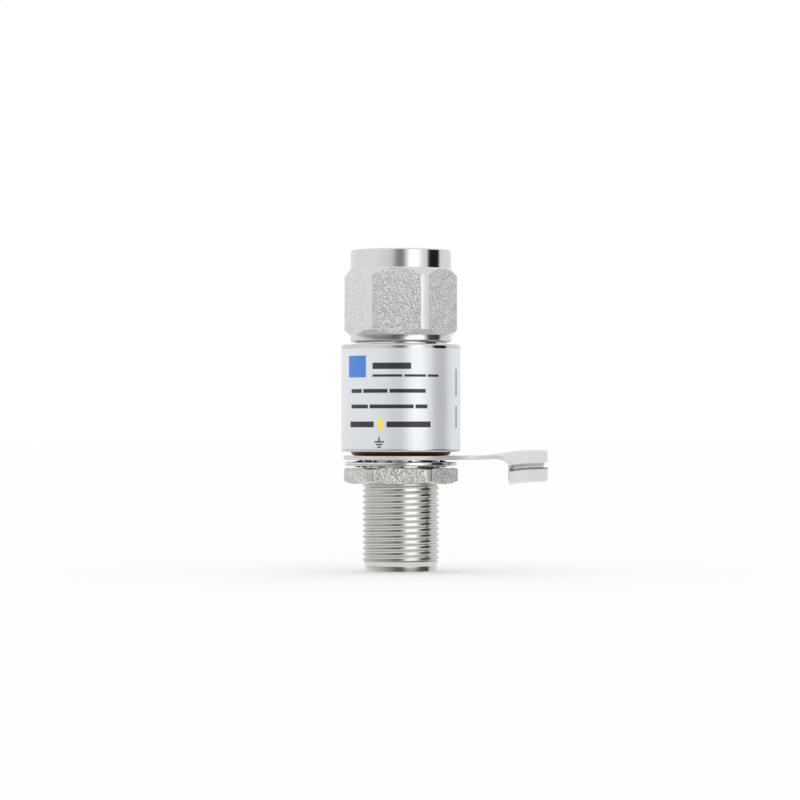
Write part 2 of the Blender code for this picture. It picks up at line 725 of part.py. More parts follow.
def retainer(name, low, high):
    """Thin sleeve of the line's own bore, which holds a bead on its step."""
    outer = LINE_RADIUS + RETAINER_WALL
    turn(
        name,
        [(outer, high), (outer, low), (LINE_RADIUS, low), (LINE_RADIUS, high)],
        MEDIUM,
        finishes["white_bronze"],
    )


def centre_rod():
    """Centre conductor, with a stud for the pin above and a tapped foot for the socket."""
    hole = STUD_RADIUS + FIT_GAP
    foot = JACK_BEAD_TOP + FIT_GAP
    top = PLUG_BEAD_FOOT - FIT_GAP
    points = [
        (STUD_RADIUS, top + STUD_LENGTH),
        (STUD_RADIUS, top),
        (ROD_RADIUS, top),
        (ROD_RADIUS, foot),
        (hole, foot),
        (hole, foot + STUD_LENGTH + RUNNING_GAP),
    ]
    turn_solid("centre_rod", points, COARSE, finishes["silver_plate"])


def jack_socket():
    """Socket with four fingers, a neck through the bead and a stud for the rod."""
    mouth = NOSE_END + SOCKET_RECESS
    bore = SOCKET_BORE_DIAMETER / 2
    neck_top = JACK_BEAD_TOP
    points = [
        (STUD_RADIUS, neck_top + STUD_LENGTH),
        (STUD_RADIUS, neck_top),
        (NECK_RADIUS, neck_top),
        (NECK_RADIUS, JACK_BEAD_FOOT - FIT_GAP),
        (ROD_RADIUS, JACK_BEAD_FOOT - FIT_GAP),
        (ROD_RADIUS, mouth),
        (bore, mouth),
        (bore, mouth + SOCKET_BORE_DEPTH),
    ]
    obj = turn_solid("jack_socket", points, COARSE, finishes["gold_plate"])
    cross_slots(
        obj,
        SOCKET_SLOT_WIDTH,
        ROD_RADIUS + CUT_MARGIN,
        mouth - CUT_MARGIN,
        mouth + SOCKET_SLOT_DEPTH,
    )


def gas_tube():
    """Ceramic tube between two electrodes whose bosses face each other, along +Y."""
    rim = TUBE_DIAMETER / 2
    boss = ELECTRODE_BOSS_DIAMETER / 2
    inner = turn_solid(
        "tube_inner_electrode",
        [
            (boss, INNER_FACE + ELECTRODE_BOSS_LENGTH),
            (boss, INNER_FACE),
            (rim, INNER_FACE),
            (rim, TUBE_START),
        ],
        MEDIUM,
        finishes["tinned_copper"],
    )
    outer = turn_solid(
        "tube_outer_electrode",
        [
            (rim, TUBE_END),
            (rim, OUTER_FACE),
            (boss, OUTER_FACE),
            (boss, OUTER_FACE - ELECTRODE_BOSS_LENGTH),
        ],
        MEDIUM,
        finishes["tinned_copper"],
    )
    bore = CERAMIC_RADIUS - CERAMIC_WALL
    ceramic = turn(
        "tube_ceramic",
        [
            (CERAMIC_RADIUS, OUTER_FACE - FIT_GAP),
            (CERAMIC_RADIUS, INNER_FACE + FIT_GAP),
            (bore, INNER_FACE + FIT_GAP),
            (bore, OUTER_FACE - FIT_GAP),
        ],
        MEDIUM,
        finishes["ceramic"],
    )
    for obj in (inner, outer, ceramic):
        lay_across(obj)


def tube_spring():
    """Short coil spring between the outer electrode and the plug."""
    start = TUBE_END + FIT_GAP + SPRING_WIRE / 2
    end = TUBE_PLUG_FOOT - FIT_GAP - SPRING_WIRE / 2
    steps = round(SPRING_TURNS * SPRING_STEPS_A_TURN)
    curve = bpy.data.curves.new("tube_spring", "CURVE")
    curve.dimensions = "3D"
    curve.bevel_depth = SPRING_WIRE / 2
    curve.bevel_resolution = 1
    curve.use_fill_caps = True
    spline = curve.splines.new("POLY")
    spline.points.add(steps)
    for index, point in enumerate(spline.points):
        share = index / steps
        angle = 2 * math.pi * SPRING_TURNS * share
        height = start + (end - start) * share
        x = SPRING_RADIUS * math.cos(angle)
        point.co = (x, SPRING_RADIUS * math.sin(angle), height, 1.0)
    lay_across(add_part("tube_spring", curve, finishes["spring_bronze"]))


def tube_plug():
    """Screw plug with a hexagonal key hole, level with the barrel under the label."""
    obj = turn_solid(
        "tube_plug",
        [
            (TUBE_PLUG_RADIUS - RUNNING_GAP, TUBE_PLUG_OUTER_FACE),
            (TUBE_PLUG_RADIUS, TUBE_PLUG_OUTER_FACE - RUNNING_GAP),
            (TUBE_PLUG_RADIUS, TUBE_PLUG_FOOT),
        ],
        MEDIUM,
        finishes["nickel_plate"],
    )
    key = prism_cutter(
        "tube_plug_key",
        KEY_ACROSS_FLATS / 2 / math.cos(math.pi / 6),
        TUBE_PLUG_OUTER_FACE - KEY_DEPTH,
        TUBE_PLUG_OUTER_FACE + CUT_MARGIN,
        6,
    )
    cut(obj, lay_across(key))
    lay_across(obj)
    low = PORT_SEAT + FIT_GAP
    high = low + PLUG_SEAL_THICKNESS
    seal = turn(
        "tube_plug_seal",
        [
            (TUBE_PLUG_RADIUS, high),
            (TUBE_PLUG_RADIUS, low),
            (PORT_RADIUS, low),
            (PORT_RADIUS, high),
        ],
        MEDIUM,
        finishes["silicone"],
    )
    lay_across(seal)


def panel_seal():
    bpy.ops.mesh.primitive_torus_add(
        location=(0.0, 0.0, SEAL_HEIGHT),
        major_segments=FINE,
        minor_segments=SEAL_FACETS,
        major_radius=SEAL_RADIUS,
        minor_radius=SEAL_CORD / 2,
    )
    obj = bpy.context.object
    obj.name = "panel_seal"
    obj.data.materials.append(finishes["red_rubber"])
    obj.data.shade_smooth()
    for holder in list(obj.users_collection):
        holder.objects.unlink(obj)
    parts.objects.link(obj)


def smooth_step(value):
    value = min(max(value, 0.0), 1.0)
    return value * value * (3.0 - 2.0 * value)


def lug_radius(distance):
    """Radius of the rolled barrel's middle surface, which tapers a little outward."""
    share = max(distance - LUG_WING_START, 0.0) / LUG_BARREL_LENGTH
    diameter = LUG_BARREL_DIAMETER + (LUG_BARREL_END_DIAMETER - LUG_BARREL_DIAMETER) * share
    return (diameter - LUG_THICKNESS) / 2


def lug_point(distance, offset):
    """A point of the sheet's middle surface: distance from the axis along X, offset across.

    The neck starts flat, rises a little, and curls late to the barrel's own circle.
    """
    rise = LUG_RISE * smooth_step((distance - LUG_RISE_START) / LUG_RISE_LENGTH)
    rise += max(distance - LUG_RISE_END, 0.0) * math.tan(LUG_BARREL_TILT)
    top = LUG_TOP - LUG_THICKNESS / 2 + rise
    if distance <= LUG_FLARE_END:
        return Vector((distance, offset, top))
    curl = min((distance - LUG_FLARE_END) / LUG_CURL_LENGTH, 1.0) ** LUG_CURL_POWER
    bend = lug_radius(distance) / curl
    angle = offset / bend
    drop = bend * (1.0 - math.cos(angle))
    return Vector((distance, bend * math.sin(angle), top - drop))


def strip(shape, before, after):
    """One row of four-sided faces between two lines of points."""
    for index in range(len(before) - 1):
        shape.faces.new((before[index], after[index], after[index + 1], before[index + 1]))


def lug_ring(shape):
    """The flat ring. It returns the stretch of its rim that the neck grows from."""
    middle = Vector((0.0, 0.0, LUG_TOP - LUG_THICKNESS / 2))
    flare = math.asin(LUG_NECK_ROOT_WIDTH / 2 / LUG_RING_RADIUS)
    free = FINE - LUG_ACROSS
    angles = [flare * (1.0 - 2.0 * step / LUG_ACROSS) for step in range(LUG_ACROSS)]
    angles += [-flare - 2 * (math.pi - flare) * step / free for step in range(free)]
    hole, rim = [], []
    for angle in angles:
        direction = Vector((math.cos(angle), math.sin(angle), 0.0))
        hole.append(shape.verts.new(direction * LUG_HOLE_RADIUS + middle))
        rim.append(shape.verts.new(direction * LUG_RING_RADIUS + middle))
    strip(shape, [*hole, hole[0]], [*rim, rim[0]])
    return rim[: LUG_ACROSS + 1]


def lug_neck(shape, root):
    """Flares in from the ring, then rises and curls. It returns the neck's last line."""
    half = LUG_NECK_WIDTH / 2
    offsets = [half * (1.0 - 2.0 * step / LUG_ACROSS) for step in range(LUG_ACROSS + 1)]
    before = root
    for row in range(1, LUG_FLARE_ROWS + 1):
        share = row / LUG_FLARE_ROWS
        ease = 1.0 - (1.0 - share) ** 2
        line = []
        for start, offset in zip(root, offsets):
            distance = start.co.x + (LUG_FLARE_END - start.co.x) * share
            across = start.co.y + (offset - start.co.y) * ease
            line.append(shape.verts.new(lug_point(distance, across)))
        strip(shape, before, line)
        before = line
    for row in range(1, LUG_CURL_ROWS + 1):
        share = row / LUG_CURL_ROWS
        distance = LUG_FLARE_END + LUG_CURL_LENGTH * share
        line = [shape.verts.new(lug_point(distance, offset)) for offset in offsets]
        strip(shape, before, line)
        before = line
    return before


def lug_barrel(shape, neck_end):
    """Both wings and the crown between them, rolled to a seam underneath."""
    full = math.pi * lug_radius(LUG_WING_START) - LUG_SEAM / 2
    crown = LUG_NECK_WIDTH / 2 / full
    wing = [crown + (1.0 - crown) * step / LUG_WING_FACETS for step in range(1, LUG_WING_FACETS + 1)]
    middle = [crown * (1.0 - 2.0 * step / LUG_ACROSS) for step in range(LUG_ACROSS + 1)]
    before = None
    for row in range(LUG_BARREL_ROWS + 1):
        distance = LUG_WING_START + LUG_BARREL_LENGTH * row / LUG_BARREL_ROWS
        limit = math.pi * lug_radius(distance) - LUG_SEAM / 2
        left = [shape.verts.new(lug_point(distance, limit * share)) for share in reversed(wing)]
        right = [shape.verts.new(lug_point(distance, -limit * share)) for share in wing]
        crown_line = neck_end
        if row:
            crown_line = [shape.verts.new(lug_point(distance, limit * share)) for share in middle]
        line = [*left, *crown_line, *right]
        if before:
            strip(shape, before, line)
        before = line


def ground_lug():
    """One piece of sheet: a ring, a neck, and two wings rolled down to a seam underneath."""
    shape = bmesh.new()
    lug_barrel(shape, lug_neck(shape, lug_ring(shape)))
    bmesh.ops.recalc_face_normals(shape, faces=shape.faces)
    mesh = bpy.data.meshes.new("ground_lug")
    shape.to_mesh(mesh)
    shape.free()
    mesh.shade_smooth()
    obj = add_part("ground_lug", mesh, finishes["tin_plate"])
    sheet = obj.modifiers.new("Sheet", "SOLIDIFY")
    sheet.thickness = LUG_THICKNESS
    sheet.offset = 0.0
    sheet.use_even_offset = True
    return obj


def lock_washer():
    """Flat rim with teeth drawn inward from it and twisted like propeller blades."""
    outer = WASHER_RADIUS
    inner = WASHER_RADIUS - WASHER_RIM_WIDTH
    half = WASHER_THICKNESS / 2
    section = [(outer, half), (outer, -half), (inner, -half), (inner, half)]
    count = WASHER_TEETH * RIM_COLUMNS
    shape = bmesh.new()
    loops = []
    for index in range(count):
        angle = 2 * math.pi * index / count
        direction = Vector((math.cos(angle), math.sin(angle), 0.0))
        loops.append(
            [
                shape.verts.new(direction * radius + Vector((0, 0, WASHER_MIDDLE + height)))
                for radius, height in section
            ]
        )
    for index in range(count):
        here, there = loops[index], loops[(index + 1) % count]
        for side in range(len(section)):
            following = (side + 1) % len(section)
            if side == 2 and index % RIM_COLUMNS < TOOTH_COLUMNS:
                continue
            shape.faces.new((here[side], here[following], there[following], there[side]))
    for tooth in range(WASHER_TEETH):
        first = tooth * RIM_COLUMNS
        root = [loops[(first + column) % count] for column in range(TOOTH_COLUMNS + 1)]
        twisted_tooth(shape, [(loop[2], loop[3]) for loop in root], inner)
    bmesh.ops.recalc_face_normals(shape, faces=shape.faces)
    mesh = bpy.data.meshes.new("lock_washer")
    shape.to_mesh(mesh)
    shape.free()
    return add_part("lock_washer", mesh, finishes["zinc_steel"])


def twisted_tooth(shape, root, rim_inner):
    """Grows one tooth from pairs of root points, lower and upper, towards the axis."""
    half = WASHER_THICKNESS / 2
    half_width = TOOTH_TIP_WIDTH / 2
    full_twist = math.asin(WASHER_HEIGHT / 2 / math.hypot(half_width, half))
    full_twist -= math.atan2(half, half_width)
    root_width = (root[-1][0].co - root[0][0].co).length
    middle = (root[0][0].co + root[-1][0].co) / 2
    direction = Vector((middle.x, middle.y, 0.0)).normalized()
    sideways = Vector((-direction.y, direction.x, 0.0))
    tip = math.sqrt((WASHER_HOLE_RADIUS + half) ** 2 - half_width**2)
    before = root
    for stage in range(1, TOOTH_STAGES + 1):
        share = stage / TOOTH_STAGES
        place = direction * (rim_inner + (tip - rim_inner) * share)
        width = root_width + (TOOTH_TIP_WIDTH - root_width) * share
        twist = full_twist * smooth_step(share)
        line = []
        for column in range(TOOTH_COLUMNS + 1):
            across = width * (column / TOOTH_COLUMNS - 0.5)
            pair = []
            for height in (-half, half):
                x = across * math.cos(twist) - height * math.sin(twist)
                z = across * math.sin(twist) + height * math.cos(twist)
                point = place + sideways * x + Vector((0, 0, WASHER_MIDDLE + z))
                pair.append(shape.verts.new(point))
            line.append(pair)
        for column in range(TOOTH_COLUMNS):
            a, b = before[column], before[column + 1]
            c, d = line[column], line[column + 1]
            shape.faces.new((a[0], c[0], d[0], b[0]))
            shape.faces.new((a[1], b[1], d[1], c[1]))
        for side in (0, -1):
            shape.faces.new((before[side][0], before[side][1], line[side][1], line[side][0]))
        before = line
    for a, b in zip(before, before[1:]):
        shape.faces.new((a[0], a[1], b[1], b[0]))


def bulkhead_nut():
    """Thin nut turned from hexagonal bar, with chamfers that leave arcs on the flats."""
    mouth = BULKHEAD_BORE_RADIUS + BULKHEAD_BORE_CHAMFER
    obj = turn(
        "bulkhead_nut",
        [
            (BULKHEAD_TURNED_RADIUS - 2 * BULKHEAD_TOP_CHAMFER, BULKHEAD_TOP),
            (BULKHEAD_TURNED_RADIUS, BULKHEAD_TOP - BULKHEAD_TOP_CHAMFER),
            (BULKHEAD_TURNED_RADIUS, BULKHEAD_FOOT + BULKHEAD_FOOT_CHAMFER),
            (BULKHEAD_FOOT_RADIUS, BULKHEAD_FOOT),
            (mouth, BULKHEAD_FOOT),
            (BULKHEAD_BORE_RADIUS, BULKHEAD_FOOT + BULKHEAD_BORE_CHAMFER),
            (BULKHEAD_BORE_RADIUS, BULKHEAD_TOP - BULKHEAD_BORE_CHAMFER),
            (mouth, BULKHEAD_TOP),
        ],
        FINE,
        finishes["nickel_plate"],
    )
    cut_to_hexagon(
        obj,
        BULKHEAD_APOTHEM,
        BULKHEAD_FOOT - CUT_MARGIN,
        BULKHEAD_TOP + CUT_MARGIN,
        BULKHEAD_TURN,
    )
    return obj


def joint_empty(name, height, holder=None):
    """An empty on the axis that a moving piece hangs from."""
    empty = bpy.data.objects.new(name, None)
    empty.location = (0.0, 0.0, height)
    parts.objects.link(empty)
    if holder:
        attach(empty, holder)
    return empty


def attach(obj, holder):
    bpy.context.view_layer.update()
    obj.parent = holder
    obj.matrix_parent_inverse = holder.matrix_world.inverted()


clear_scene()
parts = new_collection(NAME)
cutters = new_collection("cutters")
finishes = {
    "nickel_plate": new_material("nickel_plate", (0.56, 0.55, 0.52), 0.3, 1.0),
    "white_bronze": new_material("white_bronze", (0.66, 0.66, 0.65), 0.22, 1.0),
    "tin_plate": new_material("tin_plate", (0.68, 0.68, 0.67), 0.28, 1.0),
    "zinc_steel": new_material("zinc_steel", (0.55, 0.55, 0.54), 0.3, 1.0),
    "label_film": new_material("label_film", (0.8, 0.84, 0.86), 0.35, 0.0),
    "red_rubber": new_material("red_rubber", (0.16, 0.012, 0.005), 0.45, 0.0),
    "silicone": new_material("silicone", (0.42, 0.1, 0.06), 0.6, 0.0),
    "ptfe": new_material("ptfe", (0.85, 0.85, 0.83), 0.4, 0.0),
    "gold_plate": new_material("gold_plate", (0.9, 0.65, 0.3), 0.2, 1.0),
    "silver_plate": new_material("silver_plate", (0.85, 0.84, 0.8), 0.2, 1.0),
    "spring_bronze": new_material("spring_bronze", (0.6, 0.45, 0.25), 0.3, 1.0),
    "tinned_copper": new_material("tinned_copper", (0.7, 0.68, 0.65), 0.3, 1.0),
    "ceramic": new_material("ceramic", (0.85, 0.83, 0.8), 0.5, 0.0),
}

housing()
label()
plug_shell()
snap_ring()
plug_gasket()
plug_pin()
bead("plug_insulator", PLUG_BEAD_FOOT)
retainer("plug_retainer", SPIGOT_END, PLUG_BEAD_FOOT - FIT_GAP)
centre_rod()
jack_socket()
bead("jack_insulator", JACK_BEAD_FOOT)
retainer("jack_retainer", JACK_BEAD_TOP + FIT_GAP, TUBE_HEIGHT - PORT_RADIUS)
gas_tube()
tube_spring()
tube_plug()
panel_seal()

attach(coupling_nut(), joint_empty("coupling_nut_axis", NUT_FOOT))
stack = joint_empty("bulkhead_stack_axis", BULKHEAD_TOP)
attach(lock_washer(), stack)
attach(bulkhead_nut(), joint_empty("bulkhead_nut_axis", BULKHEAD_TOP, stack))
attach(ground_lug(), joint_empty("ground_lug_axis", LUG_TOP, stack))
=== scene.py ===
"""Looks of the coax lightning arrestor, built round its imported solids.

The axis of the part is Z and its front is -Y. Sizes are in metres.
"""

import math

import bmesh
import bpy
from mathutils import Matrix, Vector

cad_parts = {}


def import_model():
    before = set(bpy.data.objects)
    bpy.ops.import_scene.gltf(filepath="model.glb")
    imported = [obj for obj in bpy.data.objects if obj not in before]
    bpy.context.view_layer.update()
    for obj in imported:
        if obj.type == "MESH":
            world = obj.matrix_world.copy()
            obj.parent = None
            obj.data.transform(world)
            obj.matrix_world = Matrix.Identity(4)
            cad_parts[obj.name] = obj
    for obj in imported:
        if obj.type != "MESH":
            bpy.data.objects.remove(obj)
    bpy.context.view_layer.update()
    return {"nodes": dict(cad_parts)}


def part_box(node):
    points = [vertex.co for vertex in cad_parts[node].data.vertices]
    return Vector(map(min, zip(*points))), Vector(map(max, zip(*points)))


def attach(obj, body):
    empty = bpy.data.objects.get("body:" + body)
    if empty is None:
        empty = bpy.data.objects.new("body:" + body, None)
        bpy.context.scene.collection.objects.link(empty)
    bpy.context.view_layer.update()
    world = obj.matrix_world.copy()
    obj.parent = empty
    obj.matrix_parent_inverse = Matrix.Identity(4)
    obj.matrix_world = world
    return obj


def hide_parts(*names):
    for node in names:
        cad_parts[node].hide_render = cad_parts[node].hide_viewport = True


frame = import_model()

MM = 0.001
FINE = 256
MEDIUM = 128
SMALL = 64
ARC_STEPS = 5
SHARP_ANGLE = math.radians(32)
HOUSING_SHARP_ANGLE = math.radians(21)

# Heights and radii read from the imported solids
BARREL_LOW = 0.0
LABEL_LOW, LABEL_HIGH = (corner[2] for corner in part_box("label"))
LABEL_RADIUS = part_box("label")[1][1]
NOSE_END, BARREL_TOP = (corner[2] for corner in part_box("housing"))
BARREL_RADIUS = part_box("housing")[1][1]
NUT_FOOT, NUT_RIM = (corner[2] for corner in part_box("coupling_nut"))
SHELL_FOOT, SLEEVE_TIP = (corner[2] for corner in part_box("plug_shell"))
GASKET_LOW, GASKET_HIGH = (corner[2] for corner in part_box("plug_gasket"))
PIN_FOOT, PIN_TIP = (corner[2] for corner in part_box("plug_pin"))
PLUG_BEAD_LOW, PLUG_BEAD_HIGH = (corner[2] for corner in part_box("plug_insulator"))
JACK_BEAD_LOW, JACK_BEAD_HIGH = (corner[2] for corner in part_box("jack_insulator"))
SOCKET_MOUTH, SOCKET_TOP = (corner[2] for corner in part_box("jack_socket"))
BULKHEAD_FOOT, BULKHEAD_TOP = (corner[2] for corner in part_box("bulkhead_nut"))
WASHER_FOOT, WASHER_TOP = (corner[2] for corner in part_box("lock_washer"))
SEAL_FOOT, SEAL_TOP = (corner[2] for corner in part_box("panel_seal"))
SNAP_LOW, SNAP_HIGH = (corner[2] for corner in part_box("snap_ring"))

# Thread of the stem and of both nuts: a flat crest and a groove like a V
PITCH = 1.2 * MM
STEM_RADIUS = 7.94 * MM
STEM_ROOT_RADIUS = 7.52 * MM
THREAD_CLEARANCE = 0.08 * MM
COUPLING_ROOT_RADIUS = 7.44 * MM
THREAD_TIP = 0.06 * MM
THREAD_FACETS = 144
CUT_TOLERANCE = 1e-7
STEM_THREAD_START = -24.68 * MM
STEM_THREAD_TOP = -0.4 * MM
STEM_THREAD_FOOT = -23.68 * MM
STEM_THREAD_BORE = 7.04 * MM
# One turn of the thread's form: share of the pitch, and depth as a share of the full depth
THREAD_FORM = [
    (0.02, 0.0),
    (0.43, 0.0),
    (0.465, 0.06),
    (0.69, 0.92),
    (0.71, 1.0),
    (0.74, 1.0),
    (0.76, 0.92),
    (0.985, 0.06),
]

# Sizes of the turned and stamped pieces, as in the solids
FIT_GAP = 0.05 * MM
RUNNING_GAP = 0.1 * MM
FILLET = 0.1 * MM
STEP_FILLET = 0.08 * MM
TIP_FILLET = 0.05 * MM
BARREL_EDGE = 0.4 * MM
TOP_BAND = 0.9 * MM
BOTTOM_BAND = 0.5 * MM
LABEL_THICKNESS = 0.06 * MM
LABEL_EDGE = 0.015 * MM
LABEL_SEAM = 0.2 * MM
LABEL_SEAM_TURN = math.radians(35.0)
LABEL_SEAT_RADIUS = LABEL_RADIUS - LABEL_THICKNESS - FIT_GAP
STEM_UNDERCUT_RADIUS = 7.34 * MM
STEM_END = NOSE_END + 2.26 * MM
TAPER_END = NOSE_END + 1.3 * MM
NOSE_RADIUS = 7.54 * MM
NOSE_EDGE = 0.3 * MM
JACK_MOUTH_RADIUS = 4.3 * MM
JACK_MOUTH_DEPTH = 9.1 * MM
JACK_MOUTH_EDGE = 0.3 * MM
LINE_RADIUS = 3.5 * MM
LINER_RADIUS = 4.0 * MM
SPIGOT_RADIUS = 7.64 * MM
FLANGE_RADIUS = 9.69 * MM
FLANGE_HEIGHT = 0.4 * MM
SHELL_STEM_RADIUS = 7.34 * MM
SLEEVE_RADIUS = 4.03 * MM
SLEEVE_EDGE = 0.2 * MM
SLEEVE_SLOT_WIDTH = 0.5 * MM
SLEEVE_SLOT_DEPTH = 6.5 * MM
ROD_RADIUS = 1.52 * MM
NECK_RADIUS = 1.2 * MM
TENON_RADIUS = 0.7 * MM
TENON_HOLE_RADIUS = 0.75 * MM
TENON_HOLE_DEPTH = 2.6 * MM
BEAD_OUTER_RIM = 0.9 * MM
BEAD_INNER_RIM = 0.5 * MM
BEAD_RECESS = 0.25 * MM
PIN_TIP_RADIUS = 0.825 * MM
PIN_TIP_LENGTH = 5.2 * MM
PIN_POINT_SHARE = 0.45
PIN_POINT_LENGTH = 0.9 * MM
PIN_POINT_FILLET = 0.4 * MM
PIN_STEP_LENGTH = 0.5 * MM
SOCKET_BORE_RADIUS = 0.83 * MM
SOCKET_BORE_DEPTH = 6.0 * MM
SOCKET_SLOT_WIDTH = 0.3 * MM
SOCKET_SLOT_DEPTH = 4.6 * MM
SOCKET_TIP_LENGTH = 0.25 * MM
SOCKET_TIP_INSET = 0.2 * MM
SOCKET_TIP_FILLET = 0.06 * MM
SOCKET_FLARE = 0.15 * MM
SOCKET_FLARE_DEPTH = 0.2 * MM
SOCKET_DRILL_POINT = 0.3 * MM
PORT_HEIGHT = 11.18 * MM
PORT_RADIUS = 4.1 * MM
PORT_SEAT = 9.0 * MM
PORT_THREAD_RADIUS = 4.98 * MM
SEAL_RADIUS = 9.65 * MM
SEAL_CORD_RADIUS = 0.88 * MM
SEAL_SIDE_GAP = 0.1 * MM
SEAL_FLATTENING = 0.97
SEAL_FACETS = 192
SEAL_SECTION_FACETS = 32
GASKET_EDGE = 0.12 * MM

# Coupling nut
NUT_TURNED_RADIUS = 11.81 * MM
NUT_APOTHEM = 10.67 * MM
NUT_TURN = math.radians(-4.75)
NUT_FOOT_RADIUS = 10.57 * MM
NUT_FOOT_LENGTH = 1.35 * MM
NUT_LOWER_CONE = 1.15 * MM
NUT_HEX_LENGTH = 11.2 * MM
NUT_UPPER_CONE = 1.6 * MM
NUT_COLLAR_RADIUS = 10.515 * MM
NUT_REAR_RADIUS = 7.465 * MM
NUT_THREAD_LENGTH = 9.8 * MM
NUT_RELIEF_LENGTH = 1.4 * MM
NUT_MOUTH_RADIUS = 8.14 * MM
SNAP_GROOVE_RADIUS = 8.09 * MM
SNAP_SLACK = 0.15 * MM
SNAP_BITE = 0.4 * MM
NUT_RIM_EDGE = 0.3 * MM
NUT_FOOT_EDGE = 0.35 * MM
HEX_BEVEL = 0.07 * MM
FLAT_TOLERANCE = 0.01 * MM

# Bulkhead nut
BULKHEAD_TURNED_RADIUS = 11.94 * MM
BULKHEAD_APOTHEM = 10.74 * MM
BULKHEAD_TURN = math.radians(-2.0)
BULKHEAD_FOOT_RADIUS = 10.64 * MM
BULKHEAD_TOP_CHAMFER = 0.25 * MM
BULKHEAD_FOOT_CHAMFER = 0.6 * MM
BULKHEAD_BORE_CHAMFER = 0.4 * MM

# Ground lug
LUG_THICKNESS = 0.88 * MM
LUG_RING_RADIUS = 12.0 * MM
LUG_HOLE_RADIUS = 8.14 * MM
LUG_NECK_WIDTH = 7.0 * MM
LUG_NECK_ROOT_WIDTH = 14.0 * MM
LUG_NECK_FLARE_END = 17.0 * MM
LUG_RISE_START = 15.9 * MM
LUG_RISE_END = 27.1 * MM
LUG_RISE = 1.12 * MM
LUG_CURL_POWER = 3.5
LUG_WING_START = 22.6 * MM
LUG_REACH = 30.6 * MM
LUG_BARREL_DIAMETER = 6.9 * MM
LUG_BARREL_END_DIAMETER = 6.6 * MM
LUG_BARREL_TILT = math.radians(0.6)
LUG_SEAM = 0.25 * MM
LUG_TOP = -0.81 * MM
LUG_MIDDLE = LUG_TOP - LUG_THICKNESS / 2
LUG_EDGE = 0.1 * MM
SHEET_SHARP_ANGLE = math.radians(40)

# Lock washer
WASHER_THICKNESS = 0.8 * MM
WASHER_RADIUS = 11.7 * MM
WASHER_RIM_WIDTH = 1.3 * MM
WASHER_HOLE_RADIUS = 8.115 * MM
WASHER_TEETH = 12
TOOTH_TIP_WIDTH = 2.5 * MM
WASHER_EDGE = 0.12 * MM

# Print on the label: heights, and places along the film from the front
PRINT_LIFT = 0.008 * MM
PRINT_STEP = 0.25 * MM
FIELD_START = -13.0 * MM
FIELD_END = -7.7 * MM
FIELD_LOW = 15.4 * MM
FIELD_HIGH = 19.9 * MM
PRINT_GAP = 0.42 * MM
# Low edge, height, start and lengths of each line of bars
PRINT_BARS = [
    (17.1 * MM, 1.3 * MM, -6.1 * MM, [8.2 * MM]),
    (15.5 * MM, 0.5 * MM, -6.1 * MM, [6.4 * MM, 4.6 * MM, 2.6 * MM]),
    (12.2 * MM, 0.8 * MM, -12.0 * MM, [3.2 * MM, 5.6 * MM, 7.6 * MM]),
    (9.0 * MM, 0.8 * MM, -12.0 * MM, [4.8 * MM, 9.4 * MM, 2.6 * MM]),
    (5.1 * MM, 1.2 * MM, -12.4 * MM, [6.6 * MM]),
    (5.1 * MM, 1.2 * MM, -3.0 * MM, [9.4 * MM]),
    (11.6 * MM, 5.6 * MM, 14.3 * MM, [0.5 * MM]),
    (4.9 * MM, 4.6 * MM, 14.3 * MM, [0.5 * MM]),
]
YELLOW_BAR = (-4.9 * MM, -3.8 * MM, 4.6 * MM, 6.9 * MM)
EARTH_PLACE = -4.6 * MM
EARTH_TOP = 3.1 * MM
EARTH_STEM = 0.85 * MM
EARTH_LINE = 0.3 * MM
EARTH_SPACING = 0.54 * MM
EARTH_BARS = [2.1 * MM, 1.4 * MM, 0.8 * MM]

# Photograph: the camera stands level, and one pixel of 800 is 0.2095 mm at the axis
CAMERA_DISTANCE = 640 * MM
PIXEL = 0.2095 * MM
IMAGE_PIXELS = 800
AXIS_PIXEL = 400.9
LEVEL_PIXEL = 430.0
NOSE_PIXEL = 571.5
SENSOR_WIDTH = 36.0

# Ring of cards that the metal reflects: degrees to the right of the camera, and brightness
CARD_DISTANCE = 400 * MM
CARD_LOW = -160 * MM
CARD_HIGH = 160 * MM
CARD_BRIGHTEST = 1.5
FLOOR_RADIUS = 6.0
FLOOR_DROP = 0.01 * MM
# Edge of the table, low in the ring, which the nose of the jack reflects
TABLE_DISTANCE = 390 * MM
TABLE_LOW = -160 * MM
TABLE_HIGH = -40.4 * MM
# Cards that the bulkhead nut reflects, above the stem's
NUT_CARD_DISTANCE = 397 * MM
NUT_CARD_LOW = -14.8 * MM
NUT_CARD_HIGH = -7.2 * MM
NUT_CARDS = [
    (-180, 0.85),
    (-110, 1.0),
    (-60, 0.98),
    (-30, 0.9),
    (-14, 0.5),
    (4, 0.45),
    (14, 0.95),
    (24, 1.2),
    (42, 1.2),
    (46, 0.9),
    (49, 0.1),
    (98, 0.02),
    (104, 0.7),
    (180, 0.85),
]
# Cards that the stem reflects, between the table and the others
STEM_CARD_DISTANCE = 395 * MM
STEM_CARD_LOW = -41 * MM
STEM_CARD_HIGH = -14.5 * MM
STEM_CARDS = [
    (-180, 0.75),
    (-150, 0.78),
    (-110, 0.45),
    (-80, 0.32),
    (-60, 0.22),
    (-35, 0.13),
    (-12, 0.08),
    (0, 0.3),
    (9, 1.2),
    (20, 2.6),
    (46, 2.6),
    (58, 0.9),
    (66, 0.1),
    (95, 0.05),
    (104, 0.65),
    (120, 0.85),
    (150, 0.9),
    (180, 0.75),
]
TABLE = [
    (-180, 1.0),
    (-145, 1.0),
    (-102, 0.82),
    (-77, 0.68),
    (-54, 0.54),
    (-34, 0.38),
    (-14, 0.16),
    (5, 0.16),
    (22, 0.55),
    (44, 0.5),
    (62, 0.14),
    (96, 0.1),
    (106, 0.9),
    (180, 1.0),
]
